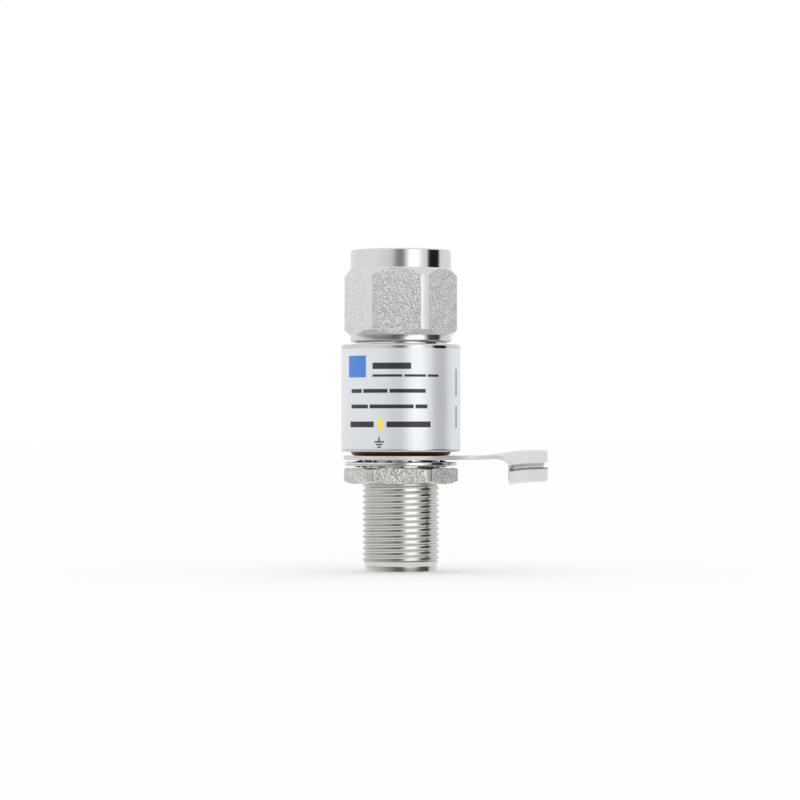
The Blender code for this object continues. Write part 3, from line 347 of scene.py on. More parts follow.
CARDS = [
    (-180, 0.85),
    (-150, 0.95),
    (-120, 1.0),
    (-60, 0.98),
    (-30, 0.88),
    (-20, 0.76),
    (-8, 0.32),
    (1, 0.27),
    (7, 0.4),
    (13, 0.95),
    (22, 1.6),
    (37, 1.62),
    (44, 1.32),
    (50, 1.0),
    (62, 0.9),
    (65, 0.06),
    (70, 0.01),
    (96, 0.01),
    (99, 0.9),
    (115, 0.97),
    (150, 0.92),
    (180, 0.85),
]


def smooth_step(value):
    value = min(max(value, 0.0), 1.0)
    return value * value * (3.0 - 2.0 * value)


def mix(low, high, share):
    return low + (high - low) * share


def object_from(shape, name):
    """A scene object from a bmesh, which is freed."""
    bmesh.ops.recalc_face_normals(shape, faces=shape.faces)
    mesh = bpy.data.meshes.new(name)
    shape.to_mesh(mesh)
    shape.free()
    obj = bpy.data.objects.new(name, mesh)
    bpy.context.scene.collection.objects.link(obj)
    return obj


def settle(obj):
    """Replaces the object's mesh by what its modifiers make of it."""
    graph = bpy.context.evaluated_depsgraph_get()
    graph.update()
    mesh = bpy.data.meshes.new_from_object(obj.evaluated_get(graph))
    obj.modifiers.clear()
    obj.data = mesh
    return obj


def shade(obj, angle=SHARP_ANGLE):
    """Smooth shading, in which broad faces stay flat and only their edges turn."""
    obj.data.shade_smooth()
    obj.data.set_sharp_from_angle(angle=angle)
    normals = obj.modifiers.new("Normals", "WEIGHTED_NORMAL")
    normals.keep_sharp = True
    return settle(obj)


def combine(obj, other, operation):
    modifier = obj.modifiers.new(operation, "BOOLEAN")
    modifier.solver = "MANIFOLD"
    modifier.operation = operation
    modifier.object = other
    settle(obj)
    bpy.data.objects.remove(other, do_unlink=True)
    return obj


def bevel(obj, width, segments=2, angle=25.0):
    """Breaks the sharp edges."""
    modifier = obj.modifiers.new("Edges", "BEVEL")
    modifier.width = width
    modifier.segments = segments
    modifier.limit_method = "ANGLE"
    modifier.angle_limit = math.radians(angle)
    modifier.miter_outer = "MITER_ARC"
    return settle(obj)


def rounded(corners):
    """The points of an outline. A corner is (radius, height) or (radius, height, fillet)."""
    points = []
    for index, corner in enumerate(corners):
        here = Vector(corner[:2])
        if len(corner) == 2:
            points.append(here)
            continue
        before = (Vector(corners[index - 1][:2]) - here).normalized()
        after = (Vector(corners[(index + 1) % len(corners)][:2]) - here).normalized()
        half = before.angle(after) / 2
        centre = here + (before + after).normalized() * corner[2] / math.sin(half)
        start = here + before * corner[2] / math.tan(half) - centre
        sweep = start.angle_signed(here + after * corner[2] / math.tan(half) - centre)
        for step in range(ARC_STEPS + 1):
            points.append(centre + Matrix.Rotation(-sweep * step / ARC_STEPS, 2) @ start)
    return points


def turned(name, corners, segments=FINE):
    """A solid turned round Z from a closed outline, which may run along the axis."""
    shape = bmesh.new()
    rings = []
    for radius, height in rounded(corners):
        if radius < 1e-9:
            rings.append([shape.verts.new((0.0, 0.0, height))] * segments)
            continue
        ring = []
        for step in range(segments):
            angle = 2 * math.pi * step / segments
            place = (radius * math.cos(angle), radius * math.sin(angle), height)
            ring.append(shape.verts.new(place))
        rings.append(ring)
    for index, ring in enumerate(rings):
        other = rings[(index + 1) % len(rings)]
        if ring[0] is ring[1] and other[0] is other[1]:
            continue
        for step in range(segments):
            following = (step + 1) % segments
            corners_here = [ring[step], ring[following], other[following], other[step]]
            shape.faces.new(list(dict.fromkeys(corners_here)))
    return object_from(shape, name)


def prism(name, radius, low, high, segments, spin=0.0):
    shape = bmesh.new()
    place = Matrix.Translation((0.0, 0.0, (low + high) / 2)) @ Matrix.Rotation(spin, 4, "Z")
    bmesh.ops.create_cone(
        shape,
        cap_ends=True,
        segments=segments,
        radius1=radius,
        radius2=radius,
        depth=high - low,
        matrix=place,
    )
    return object_from(shape, name)


def box(name, low, high, spin=0.0):
    shape = bmesh.new()
    size = Vector(high) - Vector(low)
    bmesh.ops.create_cube(shape, size=1.0)
    bmesh.ops.scale(shape, vec=size, verts=shape.verts)
    bmesh.ops.translate(shape, vec=Vector(low) + size / 2, verts=shape.verts)
    bmesh.ops.rotate(shape, verts=shape.verts, matrix=Matrix.Rotation(spin, 3, "Z"))
    return object_from(shape, name)


def hexagon(name, apothem, low, high, spin):
    """A hexagonal bar whose front flat faces -Y before the spin."""
    corner = apothem / math.cos(math.pi / 6)
    return prism(name, corner, low, high, 6, spin + math.pi / 6)


def threaded_rod(name, crest, root, low, high, start):
    """A closed rod with a right-hand thread, cut square at both ends.

    Its points follow the helix, so that the crest and root edges run true. At +X a crest
    begins at the height start.
    """
    shape = bmesh.new()
    first = math.floor((low - start) / PITCH) - 2
    last = math.ceil((high - start) / PITCH) + 2
    columns = (last - first) * THREAD_FACETS
    per_turn = len(THREAD_FORM)
    lines = []
    for column in range(columns + 1):
        angle = 2 * math.pi * column / THREAD_FACETS
        line = []
        for share, depth in THREAD_FORM:
            radius = mix(crest, root, depth)
            height = start + (first + column / THREAD_FACETS + share) * PITCH
            place = (radius * math.cos(angle), radius * math.sin(angle), height)
            line.append(shape.verts.new(place))
        lines.append(line)
    for column in range(columns):
        here, there = lines[column], lines[column + 1]
        for index in range(per_turn - 1):
            shape.faces.new((here[index], there[index], there[index + 1], here[index + 1]))
        if column + THREAD_FACETS + 1 <= columns:
            above, beside = lines[column + THREAD_FACETS], lines[column + THREAD_FACETS + 1]
            shape.faces.new((here[-1], there[-1], beside[0], above[0]))
    for height, outward in ((low, -1.0), (high, 1.0)):
        bmesh.ops.bisect_plane(
            shape,
            geom=[*shape.verts, *shape.edges, *shape.faces],
            plane_co=(0.0, 0.0, height),
            plane_no=(0.0, 0.0, outward),
            clear_outer=True,
            dist=1e-9,
        )
        limit = height * outward - CUT_TOLERANCE
        rim = [
            edge
            for edge in shape.edges
            if edge.is_boundary and all(vert.co.z * outward >= limit for vert in edge.verts)
        ]
        bmesh.ops.contextual_create(shape, geom=rim)
    return object_from(shape, name)


def replace_node(obj, node, body, slot, *materials):
    """The fine piece stands for the node, rides on its body and takes its finish."""
    obj.data.materials.clear()
    for finish in materials:
        obj.data.materials.append(finish)
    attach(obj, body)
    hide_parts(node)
    return obj


def paint_flats(obj, apothem, spin):
    """Gives the hexagon's flats the second material."""
    for face in obj.data.polygons:
        angle = round((math.atan2(face.normal.y, face.normal.x) - spin - math.pi / 6) / (math.pi / 3))
        angle = angle * math.pi / 3 + spin + math.pi / 6
        outward = Vector((math.cos(angle), math.sin(angle), 0.0))
        on_plane = abs(face.center.dot(outward) - apothem) < FLAT_TOLERANCE
        face.material_index = int(on_plane and face.normal.dot(outward) > 0.999)


# Materials


# Scale along X, Y and Z of the fine lines that turning leaves
TURNING_LINES = (60.0, 60.0, 9000.0)


class Nodes:
    """Short calls for building a material's node tree."""

    def __init__(self, name):
        self.material = bpy.data.materials.new(name)
        self.material.use_nodes = True
        self.tree = self.material.node_tree
        self.shader = self.tree.nodes["Principled BSDF"]

    def add(self, kind, **settings):
        node = self.tree.nodes.new("ShaderNode" + kind)
        for key, value in settings.items():
            setattr(node, key, value)
        return node

    def link(self, source, target):
        self.tree.links.new(source, target)

    def position(self):
        return self.add("TexCoord").outputs["Object"]

    def scaled(self, scale):
        """Object coordinates, stretched."""
        mapping = self.add("Mapping")
        mapping.inputs["Scale"].default_value = scale
        self.link(self.position(), mapping.inputs["Vector"])
        return mapping.outputs["Vector"]

    def noise(self, scale, stretch=(1.0, 1.0, 1.0), detail=3.0, roughness=0.5):
        node = self.add("TexNoise")
        node.inputs["Scale"].default_value = scale
        node.inputs["Detail"].default_value = detail
        node.inputs["Roughness"].default_value = roughness
        self.link(self.scaled(stretch), node.inputs["Vector"])
        return node.outputs["Fac"]

    def ramp(self, source, low, high, from_low=0.3, from_high=0.7):
        node = self.add("MapRange")
        node.inputs["From Min"].default_value = from_low
        node.inputs["From Max"].default_value = from_high
        node.inputs["To Min"].default_value = low
        node.inputs["To Max"].default_value = high
        self.link(source, node.inputs["Value"])
        return node.outputs["Result"]

    def math(self, operation, first, second):
        node = self.add("Math", operation=operation)
        for index, value in enumerate((first, second)):
            if isinstance(value, (int, float)):
                node.inputs[index].default_value = value
            else:
                self.link(value, node.inputs[index])
        return node.outputs["Value"]

    def blend(self, share, first, second):
        """A colour between two, by a share."""
        node = self.add("Mix", data_type="RGBA")
        self.link(share, node.inputs["Factor"])
        node.inputs["A"].default_value = (*first, 1.0)
        node.inputs["B"].default_value = (*second, 1.0)
        return node.outputs["Result"]

    def bump(self, height, distance, strength=1.0, after=None):
        node = self.add("Bump")
        node.inputs["Strength"].default_value = strength
        node.inputs["Distance"].default_value = distance
        self.link(height, node.inputs["Height"])
        if after:
            self.link(after, node.inputs["Normal"])
        return node.outputs["Normal"]

    def set(self, socket, value):
        target = self.shader.inputs[socket]
        if isinstance(value, (int, float, tuple)):
            target.default_value = value
        else:
            self.link(value, target)


def plated_metal(
    name,
    colour,
    darker,
    roughness,
    rings=0.0,
    grain=0.0,
    grain_scale=3500.0,
    cloud_scale=260.0,
    painted_shade_reach=0.0,
):
    """Plated metal, with turning rings round Z, an even grain and painted shade in crevices where asked.
    """
    nodes = Nodes(name)
    cloud = nodes.noise(cloud_scale, detail=2.0)
    base = nodes.blend(nodes.ramp(cloud, 0.0, 1.0), darker, colour)
    # Ambient occlusion darkens the base colour in crevices and gaps: painted shade
    if painted_shade_reach:
        shade = nodes.add("AmbientOcclusion", samples=8)
        shade.inputs["Distance"].default_value = painted_shade_reach
        nodes.link(base, shade.inputs["Color"])
        base = shade.outputs["Color"]
    nodes.set("Base Color", base)
    nodes.set("Metallic", 1.0)
    fine = nodes.noise(2600.0, detail=2.0)
    nodes.set("Roughness", nodes.ramp(fine, roughness * 0.82, roughness * 1.2))
    normal = None
    if rings:
        lines = nodes.noise(1.0, TURNING_LINES, detail=2.0)
        normal = nodes.bump(lines, rings)
    if grain:
        pits = nodes.noise(grain_scale, detail=1.0)
        normal = nodes.bump(pits, grain, after=normal)
    if normal:
        nodes.set("Normal", normal)
    return nodes.material


def thread_material():
    """Nickel on the stem's thread: bright flanks, with crests and roots darkened as painted shade and
    made rougher.
    """
    nodes = Nodes("nickel_thread")
    place = nodes.add("SeparateXYZ")
    nodes.link(nodes.position(), place.inputs[0])
    squares = [nodes.math("POWER", place.outputs[axis], 2.0) for axis in ("X", "Y")]
    radius = nodes.math("SQRT", nodes.math("ADD", *squares), 0.0)
    crest = nodes.ramp(radius, 0.0, 1.0, STEM_RADIUS - THREAD_TIP, STEM_RADIUS - THREAD_TIP / 4)
    root = nodes.ramp(radius, 1.0, 0.0, STEM_ROOT_RADIUS + THREAD_TIP, STEM_ROOT_RADIUS + 3 * THREAD_TIP)
    # Crests and roots: a darker base colour as painted shade, and a higher roughness
    shaded_and_rougher = nodes.math("MAXIMUM", crest, root)
    nodes.set("Base Color", nodes.blend(shaded_and_rougher, (0.79, 0.78, 0.75), (0.62, 0.61, 0.58)))
    nodes.set("Metallic", 1.0)
    nodes.set("Roughness", nodes.ramp(shaded_and_rougher, 0.12, 0.18, 0.0, 1.0))
    lines = nodes.noise(1.0, TURNING_LINES, detail=2.0)
    nodes.set("Normal", nodes.bump(lines, 0.001 * MM))
    return nodes.material


def label_film_material():
    """Satin film over metal: pale blue grey, with a broad soft gloss."""
    nodes = Nodes("label_film")
    cloud = nodes.noise(120.0, detail=3.0)
    share = nodes.ramp(cloud, 0.0, 1.0)
    nodes.set("Base Color", nodes.blend(share, (0.765, 0.79, 0.822), (0.795, 0.818, 0.848)))
    nodes.set("Metallic", 0.47)
    grain = nodes.noise(5000.0, detail=2.0)
    nodes.set("Roughness", nodes.ramp(grain, 0.3, 0.36))
    nodes.set("Normal", nodes.bump(grain, 0.002 * MM))
    return nodes.material


def plain_material(name, colour, darker, roughness, scale=600.0, height=0.004 * MM):
    """Rubber, plastic or ceramic: a little uneven in colour, roughness and height."""
    nodes = Nodes(name)
    cloud = nodes.noise(scale, detail=4.0)
    nodes.set("Base Color", nodes.blend(nodes.ramp(cloud, 0.0, 1.0), darker, colour))
    nodes.set("Roughness", nodes.ramp(cloud, roughness * 0.9, roughness * 1.12))
    nodes.set("Normal", nodes.bump(nodes.noise(scale * 6, detail=3.0), height))
    return nodes.material


def ink_material(name, colour):
    nodes = Nodes(name)
    cloud = nodes.noise(900.0, detail=2.0)
    lighter = tuple(min(1.0, value * 1.12 + 0.004) for value in colour)
    nodes.set("Base Color", nodes.blend(nodes.ramp(cloud, 0.0, 1.0), colour, lighter))
    nodes.set("Roughness", nodes.ramp(cloud, 0.3, 0.38))
    return nodes.material


NUT_TURNED = plated_metal(
    "white_bronze_turned", (0.70, 0.70, 0.69), (0.66, 0.66, 0.655), 0.13, rings=0.0012 * MM
)
# The flats' colour speckles between bright and dark: random grain tone, and partly painted glints of
# sparkle
NUT_FLATS = plated_metal(
    "white_bronze_flats",
    (1.0, 1.0, 0.995),
    (0.5, 0.5, 0.495),
    0.32,
    grain=0.17 * MM,
    grain_scale=3000.0,
    cloud_scale=3600.0,
)
NICKEL = plated_metal("nickel_satin", (0.66, 0.65, 0.625), (0.61, 0.60, 0.58), 0.13, rings=0.0008 * MM)
NICKEL_THREAD = thread_material()
# The flats' colour speckles between bright and dark: random grain tone, and partly painted glints of
# sparkle
NICKEL_FLATS = plated_metal(
    "nickel_flats",
    (0.98, 0.97, 0.935),
    (0.32, 0.315, 0.3),
    0.17,
    grain=0.24 * MM,
    grain_scale=3100.0,
    cloud_scale=3500.0,
)
TIN = plated_metal("tin_plate", (0.72, 0.72, 0.71), (0.67, 0.67, 0.66), 0.15, grain=0.003 * MM)
TIN_EDGE = plated_metal(
    "tin_edge", (0.86, 0.87, 0.87), (0.72, 0.73, 0.73), 0.55, grain=0.03 * MM, cloud_scale=3800.0
)
# The zinc washer's base colour darkens in its gaps through ambient occlusion: painted shade
ZINC = plated_metal(
    "zinc_steel", (0.76, 0.76, 0.74), (0.66, 0.66, 0.645), 0.14, grain=0.004 * MM, painted_shade_reach=2.0 * MM
)
GOLD = plated_metal("gold_plate", (0.93, 0.68, 0.32), (0.88, 0.62, 0.27), 0.16, rings=0.0008 * MM)
SILVER = plated_metal("silver_plate", (0.88, 0.87, 0.84), (0.82, 0.81, 0.78), 0.16, rings=0.0008 * MM)
BRONZE = plated_metal("spring_bronze", (0.62, 0.46, 0.26), (0.52, 0.38, 0.2), 0.3, grain=0.004 * MM)
COPPER = plated_metal("tinned_copper", (0.72, 0.70, 0.67), (0.62, 0.6, 0.57), 0.3, grain=0.004 * MM)
FILM = label_film_material()
DARK_INK = ink_material("ink_dark", (0.022, 0.024, 0.034))
BLUE_INK = ink_material("ink_blue", (0.05, 0.2, 0.62))
YELLOW_INK = ink_material("ink_yellow", (0.83, 0.72, 0.08))
RED_RUBBER = plain_material("red_rubber", (0.16, 0.016, 0.006), (0.11, 0.009, 0.004), 0.34)
SILICONE = plain_material("silicone", (0.45, 0.11, 0.06), (0.4, 0.09, 0.05), 0.5)
PTFE = plain_material("ptfe", (0.84, 0.84, 0.82), (0.8, 0.8, 0.78), 0.38)
CERAMIC = plain_material("ceramic", (0.85, 0.83, 0.8), (0.8, 0.78, 0.75), 0.45)


# Pieces


def housing():
    """Barrel, threaded stem and nose in one, with its bores and the tube's port."""
    groove_inner = SEAL_RADIUS - SEAL_CORD_RADIUS - SEAL_SIDE_GAP
    groove_outer = SEAL_RADIUS + SEAL_CORD_RADIUS + SEAL_SIDE_GAP
    groove_depth = SEAL_TOP + FIT_GAP
    obj = turned(
        "arrestor_housing",
        [
            (BARREL_RADIUS, BARREL_TOP, BARREL_EDGE),
            (BARREL_RADIUS, BARREL_TOP - TOP_BAND),
            (LABEL_SEAT_RADIUS, BARREL_TOP - TOP_BAND),
            (LABEL_SEAT_RADIUS, BOTTOM_BAND),
            (BARREL_RADIUS, BOTTOM_BAND),
            (BARREL_RADIUS, BARREL_LOW, BARREL_EDGE),
            (groove_outer, BARREL_LOW),
            (groove_outer, groove_depth),
            (groove_inner, groove_depth),
            (groove_inner, BARREL_LOW),
            (STEM_UNDERCUT_RADIUS, BARREL_LOW),
            (STEM_UNDERCUT_RADIUS, STEM_END),
            (STEM_RADIUS, STEM_END),
            (NOSE_RADIUS, TAPER_END),
            (NOSE_RADIUS, NOSE_END, NOSE_EDGE),
            (JACK_MOUTH_RADIUS + JACK_MOUTH_EDGE, NOSE_END),
            (JACK_MOUTH_RADIUS, NOSE_END + JACK_MOUTH_EDGE),
            (JACK_MOUTH_RADIUS, NOSE_END + JACK_MOUTH_DEPTH),
            (LINE_RADIUS, NOSE_END + JACK_MOUTH_DEPTH),
            (LINE_RADIUS, JACK_BEAD_LOW - FIT_GAP),
            (LINER_RADIUS, JACK_BEAD_LOW - FIT_GAP),
            (LINER_RADIUS, SHELL_FOOT - FIT_GAP),
            (SPIGOT_RADIUS + THREAD_CLEARANCE, SHELL_FOOT - FIT_GAP),
            (SPIGOT_RADIUS + THREAD_CLEARANCE, BARREL_TOP),
        ],
    )
    low, high = STEM_THREAD_FOOT, STEM_THREAD_TOP
    rod = threaded_rod("thread", STEM_RADIUS, STEM_ROOT_RADIUS, low - MM, high + MM, STEM_THREAD_START)
    outer = STEM_RADIUS + THREAD_CLEARANCE
    slope = outer - STEM_THREAD_BORE
    blank = turned(
        "thread_blank",
        [(STEM_THREAD_BORE, high), (outer, high - slope), (outer, low + slope), (STEM_THREAD_BORE, low)],
        THREAD_FACETS,
    )
    combine(rod, blank, "INTERSECT")
    combine(obj, rod, "UNION")
    for radius, reach in ((PORT_RADIUS, PORT_SEAT + MM), (PORT_THREAD_RADIUS, BARREL_RADIUS + MM)):
        start = 0.0 if radius == PORT_RADIUS else PORT_SEAT
        port = prism("port", radius, start, reach, SMALL)
        port.data.transform(Matrix.Rotation(-math.pi / 2, 4, "X"))
        port.data.transform(Matrix.Translation((0.0, 0.0, PORT_HEIGHT)))
        combine(obj, port, "DIFFERENCE")
    shade(obj, HOUSING_SHARP_ANGLE)
    replace_node(obj, "housing", "arrestor", "nickel_plate", NICKEL, NICKEL_THREAD)
    for face in obj.data.polygons:
        threaded = STEM_END < face.center.z < STEM_THREAD_TOP
        outside = face.center.xy.length > STEM_THREAD_BORE + THREAD_TIP
        face.material_index = int(threaded and outside)


def label():
    """The printed film, with its seam at the back."""
    inner = LABEL_RADIUS - LABEL_THICKNESS
    obj = turned(
        "label_film",
        [
            (LABEL_RADIUS - LABEL_EDGE, LABEL_HIGH),
            (LABEL_RADIUS, LABEL_HIGH - LABEL_EDGE),
            (LABEL_RADIUS, LABEL_LOW + LABEL_EDGE),
            (LABEL_RADIUS - LABEL_EDGE, LABEL_LOW),
            (inner, LABEL_LOW),
            (inner, LABEL_HIGH),
        ],
        FINE,
    )
    slit = box(
        "slit",
        (-LABEL_SEAM / 2, inner - MM, LABEL_LOW - MM),
        (LABEL_SEAM / 2, LABEL_RADIUS + MM, LABEL_HIGH + MM),
        LABEL_SEAM_TURN,
    )
    combine(obj, slit, "DIFFERENCE")
    shade(obj)
    return replace_node(obj, "label", "arrestor", "label_film", FILM)


def patch(shape, start, end, low, high):
    """A thin patch that lies on the film, between two places along it and two heights."""
    radius = LABEL_RADIUS + PRINT_LIFT
    steps = max(1, math.ceil(abs(end - start) / PRINT_STEP))
    before = None
    for step in range(steps + 1):
        angle = mix(start, end, step / steps) / LABEL_RADIUS - math.pi / 2
        x, y = radius * math.cos(angle), radius * math.sin(angle)
        pair = [shape.verts.new((x, y, low)), shape.verts.new((x, y, high))]
        if before:
            shape.faces.new((before[0], pair[0], pair[1], before[1]))
        before = pair


def print_piece(name, ink, patches):
    shape = bmesh.new()
    for start, end, low, high in patches:
        patch(shape, start, end, low, high)
    obj = object_from(shape, name)
    for face in obj.data.polygons:
        outward = Vector((face.center.x, face.center.y, 0.0))
        if face.normal.dot(outward) < 0.0:
            face.flip()
    obj.data.shade_smooth()
    obj.data.materials.append(ink)
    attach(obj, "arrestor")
    return obj


def label_print():
    """Plain fields and bars where the film is printed, and the common sign for earth."""
    print_piece("print_blue", BLUE_INK, [(FIELD_START, FIELD_END, FIELD_LOW, FIELD_HIGH)])
    bars = []
    for low, height, start, lengths in PRINT_BARS:
        for length in lengths:
            bars.append((start, start + length, low, low + height))
            start += length + PRINT_GAP
    half = EARTH_LINE / 2
    bars.append((EARTH_PLACE - half, EARTH_PLACE + half, EARTH_TOP - EARTH_STEM, EARTH_TOP))
    for number, length in enumerate(EARTH_BARS):
        high = EARTH_TOP - EARTH_STEM - EARTH_SPACING * number
        bars.append((EARTH_PLACE - length / 2, EARTH_PLACE + length / 2, high - EARTH_LINE, high))
    print_piece("print_dark", DARK_INK, bars)
    print_piece("print_yellow", YELLOW_INK, [YELLOW_BAR])


def coupling_nut():
    """Hexagon with plain collars, its flats cut into a turned blank, and an inner thread."""
    cone_foot = NUT_FOOT + NUT_FOOT_LENGTH
    hex_foot = cone_foot + NUT_LOWER_CONE
    hex_top = hex_foot + NUT_HEX_LENGTH
    collar_foot = hex_top + NUT_UPPER_CONE
    thread_foot = NUT_RIM - NUT_THREAD_LENGTH
    relief_foot = thread_foot - NUT_RELIEF_LENGTH
    core = COUPLING_ROOT_RADIUS + THREAD_TIP
    depth = NUT_MOUTH_RADIUS - core
    obj = turned(
        "coupling_nut_body",
        [
            (NUT_COLLAR_RADIUS, NUT_RIM, NUT_RIM_EDGE),
            (NUT_COLLAR_RADIUS, collar_foot),
            (NUT_TURNED_RADIUS, hex_top),
            (NUT_TURNED_RADIUS, hex_foot),
            (NUT_FOOT_RADIUS, cone_foot),
            (NUT_FOOT_RADIUS, NUT_FOOT, NUT_FOOT_EDGE),
            (NUT_REAR_RADIUS, NUT_FOOT),
            (NUT_REAR_RADIUS, SNAP_LOW - SNAP_SLACK),
            (SNAP_GROOVE_RADIUS, SNAP_LOW - SNAP_SLACK),
            (SNAP_GROOVE_RADIUS, SNAP_HIGH + SNAP_SLACK),
            (NUT_REAR_RADIUS, SNAP_HIGH + SNAP_SLACK),
            (NUT_REAR_RADIUS, relief_foot),
            (NUT_MOUTH_RADIUS, relief_foot),
            (NUT_MOUTH_RADIUS, thread_foot),
            (core, thread_foot + depth),
            (core, NUT_RIM - depth),
            (NUT_MOUTH_RADIUS, NUT_RIM),
        ],
    )
    bar = hexagon("bar", NUT_APOTHEM, NUT_FOOT - MM, NUT_RIM + MM, NUT_TURN)
    combine(obj, bar, "INTERSECT")
    bevel(obj, HEX_BEVEL)
    crest = STEM_RADIUS + THREAD_CLEARANCE
    low = thread_foot - NUT_RELIEF_LENGTH / 2
    rod = threaded_rod("thread", crest, COUPLING_ROOT_RADIUS, low, NUT_RIM + MM, low)
    combine(obj, rod, "DIFFERENCE")
    shade(obj)
    replace_node(obj, "coupling_nut", "coupling_nut", "white_bronze", NUT_TURNED, NUT_FLATS)
    paint_flats(obj, NUT_APOTHEM, NUT_TURN)
    return obj


def bulkhead_nut():
    """Thin nut with arcs on its flats, a wide chamfer below and an inner thread."""
    crest = STEM_RADIUS + THREAD_CLEARANCE
    root = STEM_ROOT_RADIUS + THREAD_CLEARANCE
    core = root + THREAD_TIP
    mouth = crest + BULKHEAD_BORE_CHAMFER
    obj = turned(
        "bulkhead_nut_body",
        [
            (BULKHEAD_TURNED_RADIUS - 2 * BULKHEAD_TOP_CHAMFER, BULKHEAD_TOP),
            (BULKHEAD_TURNED_RADIUS, BULKHEAD_TOP - BULKHEAD_TOP_CHAMFER),
            (BULKHEAD_TURNED_RADIUS, BULKHEAD_FOOT + BULKHEAD_FOOT_CHAMFER),
            (BULKHEAD_FOOT_RADIUS, BULKHEAD_FOOT),
            (mouth, BULKHEAD_FOOT),
            (core, BULKHEAD_FOOT + mouth - core),
            (core, BULKHEAD_TOP - mouth + core),
            (mouth, BULKHEAD_TOP),
        ],
    )
    bar = hexagon("bar", BULKHEAD_APOTHEM, BULKHEAD_FOOT - MM, BULKHEAD_TOP + MM, BULKHEAD_TURN)
    combine(obj, bar, "INTERSECT")
    bevel(obj, HEX_BEVEL)
    rod = threaded_rod("thread", crest, root, BULKHEAD_FOOT - MM, BULKHEAD_TOP + MM, STEM_THREAD_START)
    combine(obj, rod, "DIFFERENCE")
    shade(obj)
    replace_node(obj, "bulkhead_nut", "bulkhead_nut", "nickel_plate", NICKEL, NICKEL_FLATS)
    paint_flats(obj, BULKHEAD_APOTHEM, BULKHEAD_TURN)
    return obj


def cross_slots(obj, width, reach, low, high):
    """Two slots across each other, which leave four fingers."""
    for number in range(2):
        spin = math.pi / 4 + number * math.pi / 2
        slot = box("slot", (-reach, -width / 2, low), (reach, width / 2, high), spin)
        combine(obj, slot, "DIFFERENCE")


def plug_shell():
    """Outer contact of the plug with its four fingers."""
    seat = GASKET_LOW - FIT_GAP
    flange_foot = BARREL_TOP + FIT_GAP
    flange_top = flange_foot + FLANGE_HEIGHT
    groove = SHELL_STEM_RADIUS - SNAP_BITE
    obj = turned(
        "plug_shell_body",
        [
            (SLEEVE_RADIUS - SLEEVE_EDGE, SLEEVE_TIP, TIP_FILLET),
            (SLEEVE_RADIUS, SLEEVE_TIP - SLEEVE_EDGE, TIP_FILLET),
            (SLEEVE_RADIUS, seat),
            (SHELL_STEM_RADIUS, seat, FILLET),
            (SHELL_STEM_RADIUS, SNAP_HIGH + FIT_GAP),
            (groove, SNAP_HIGH + FIT_GAP),
            (groove, SNAP_LOW - FIT_GAP),
            (SHELL_STEM_RADIUS, SNAP_LOW - FIT_GAP),
            (SHELL_STEM_RADIUS, flange_top),
            (FLANGE_RADIUS, flange_top, STEP_FILLET),
            (FLANGE_RADIUS, flange_foot, TIP_FILLET),
            (SPIGOT_RADIUS, flange_foot),
            (SPIGOT_RADIUS, SHELL_FOOT),
            (LINER_RADIUS, SHELL_FOOT),
            (LINER_RADIUS, PLUG_BEAD_HIGH + FIT_GAP),
            (LINE_RADIUS, PLUG_BEAD_HIGH + FIT_GAP),
            (LINE_RADIUS, SLEEVE_TIP, TIP_FILLET),
        ],
        MEDIUM,
    )
    slot_foot = SLEEVE_TIP - SLEEVE_SLOT_DEPTH
    cross_slots(obj, SLEEVE_SLOT_WIDTH, SLEEVE_RADIUS + MM, slot_foot, SLEEVE_TIP + MM)
    shade(obj)
    return replace_node(obj, "plug_shell", "arrestor", "white_bronze", NUT_TURNED)


def plug_inside():
    """Gasket, pin and bead of the plug."""
    outer = SHELL_STEM_RADIUS - RUNNING_GAP
    inner = SLEEVE_RADIUS + RUNNING_GAP
    gasket = turned(
        "plug_gasket_ring",
        [
            (outer, GASKET_HIGH, GASKET_EDGE),
            (outer, GASKET_LOW, GASKET_EDGE),
            (inner, GASKET_LOW, GASKET_EDGE),
            (inner, GASKET_HIGH, GASKET_EDGE),
        ],
        MEDIUM,
    )
    shade(gasket)
    replace_node(gasket, "plug_gasket", "arrestor", "silicone", SILICONE)
    tip_foot = PIN_TIP - PIN_TIP_LENGTH
    neck_top = PLUG_BEAD_HIGH + FIT_GAP
    pin = turned(
        "plug_pin_body",
        [
            (0.0, PIN_TIP),
            (PIN_TIP_RADIUS * PIN_POINT_SHARE, PIN_TIP, 0.12 * MM),
            (PIN_TIP_RADIUS, PIN_TIP - PIN_POINT_LENGTH, PIN_POINT_FILLET),
            (PIN_TIP_RADIUS, tip_foot, FILLET),
            (ROD_RADIUS, tip_foot - PIN_STEP_LENGTH, STEP_FILLET),
            (ROD_RADIUS, neck_top),
            (NECK_RADIUS, neck_top),
            (NECK_RADIUS, PIN_FOOT),
            (TENON_HOLE_RADIUS, PIN_FOOT),
            (TENON_HOLE_RADIUS, PIN_FOOT + TENON_HOLE_DEPTH),
            (0.0, PIN_FOOT + TENON_HOLE_DEPTH),
        ],
        SMALL,
    )
    shade(pin)
    replace_node(pin, "plug_pin", "arrestor", "gold_plate", GOLD)


def bead(name, node, low, high):
    """PTFE bead with a shallow ring groove in each face."""
    outer = LINER_RADIUS - FIT_GAP
    inner = NECK_RADIUS + FIT_GAP
    recess_outer = outer - BEAD_OUTER_RIM
    recess_inner = inner + BEAD_INNER_RIM
    obj = turned(
        name,
        [
            (outer, high),
            (outer, low),
            (recess_outer, low, FILLET),
            (recess_outer, low + BEAD_RECESS, FILLET),
            (recess_inner, low + BEAD_RECESS, FILLET),
            (recess_inner, low, FILLET),
            (inner, low),
            (inner, high),
            (recess_inner, high, FILLET),
            (recess_inner, high - BEAD_RECESS, FILLET),
            (recess_outer, high - BEAD_RECESS, FILLET),
            (recess_outer, high, FILLET),
        ],
        SMALL,
    )
    shade(obj)
    replace_node(obj, node, "arrestor", "ptfe", PTFE)


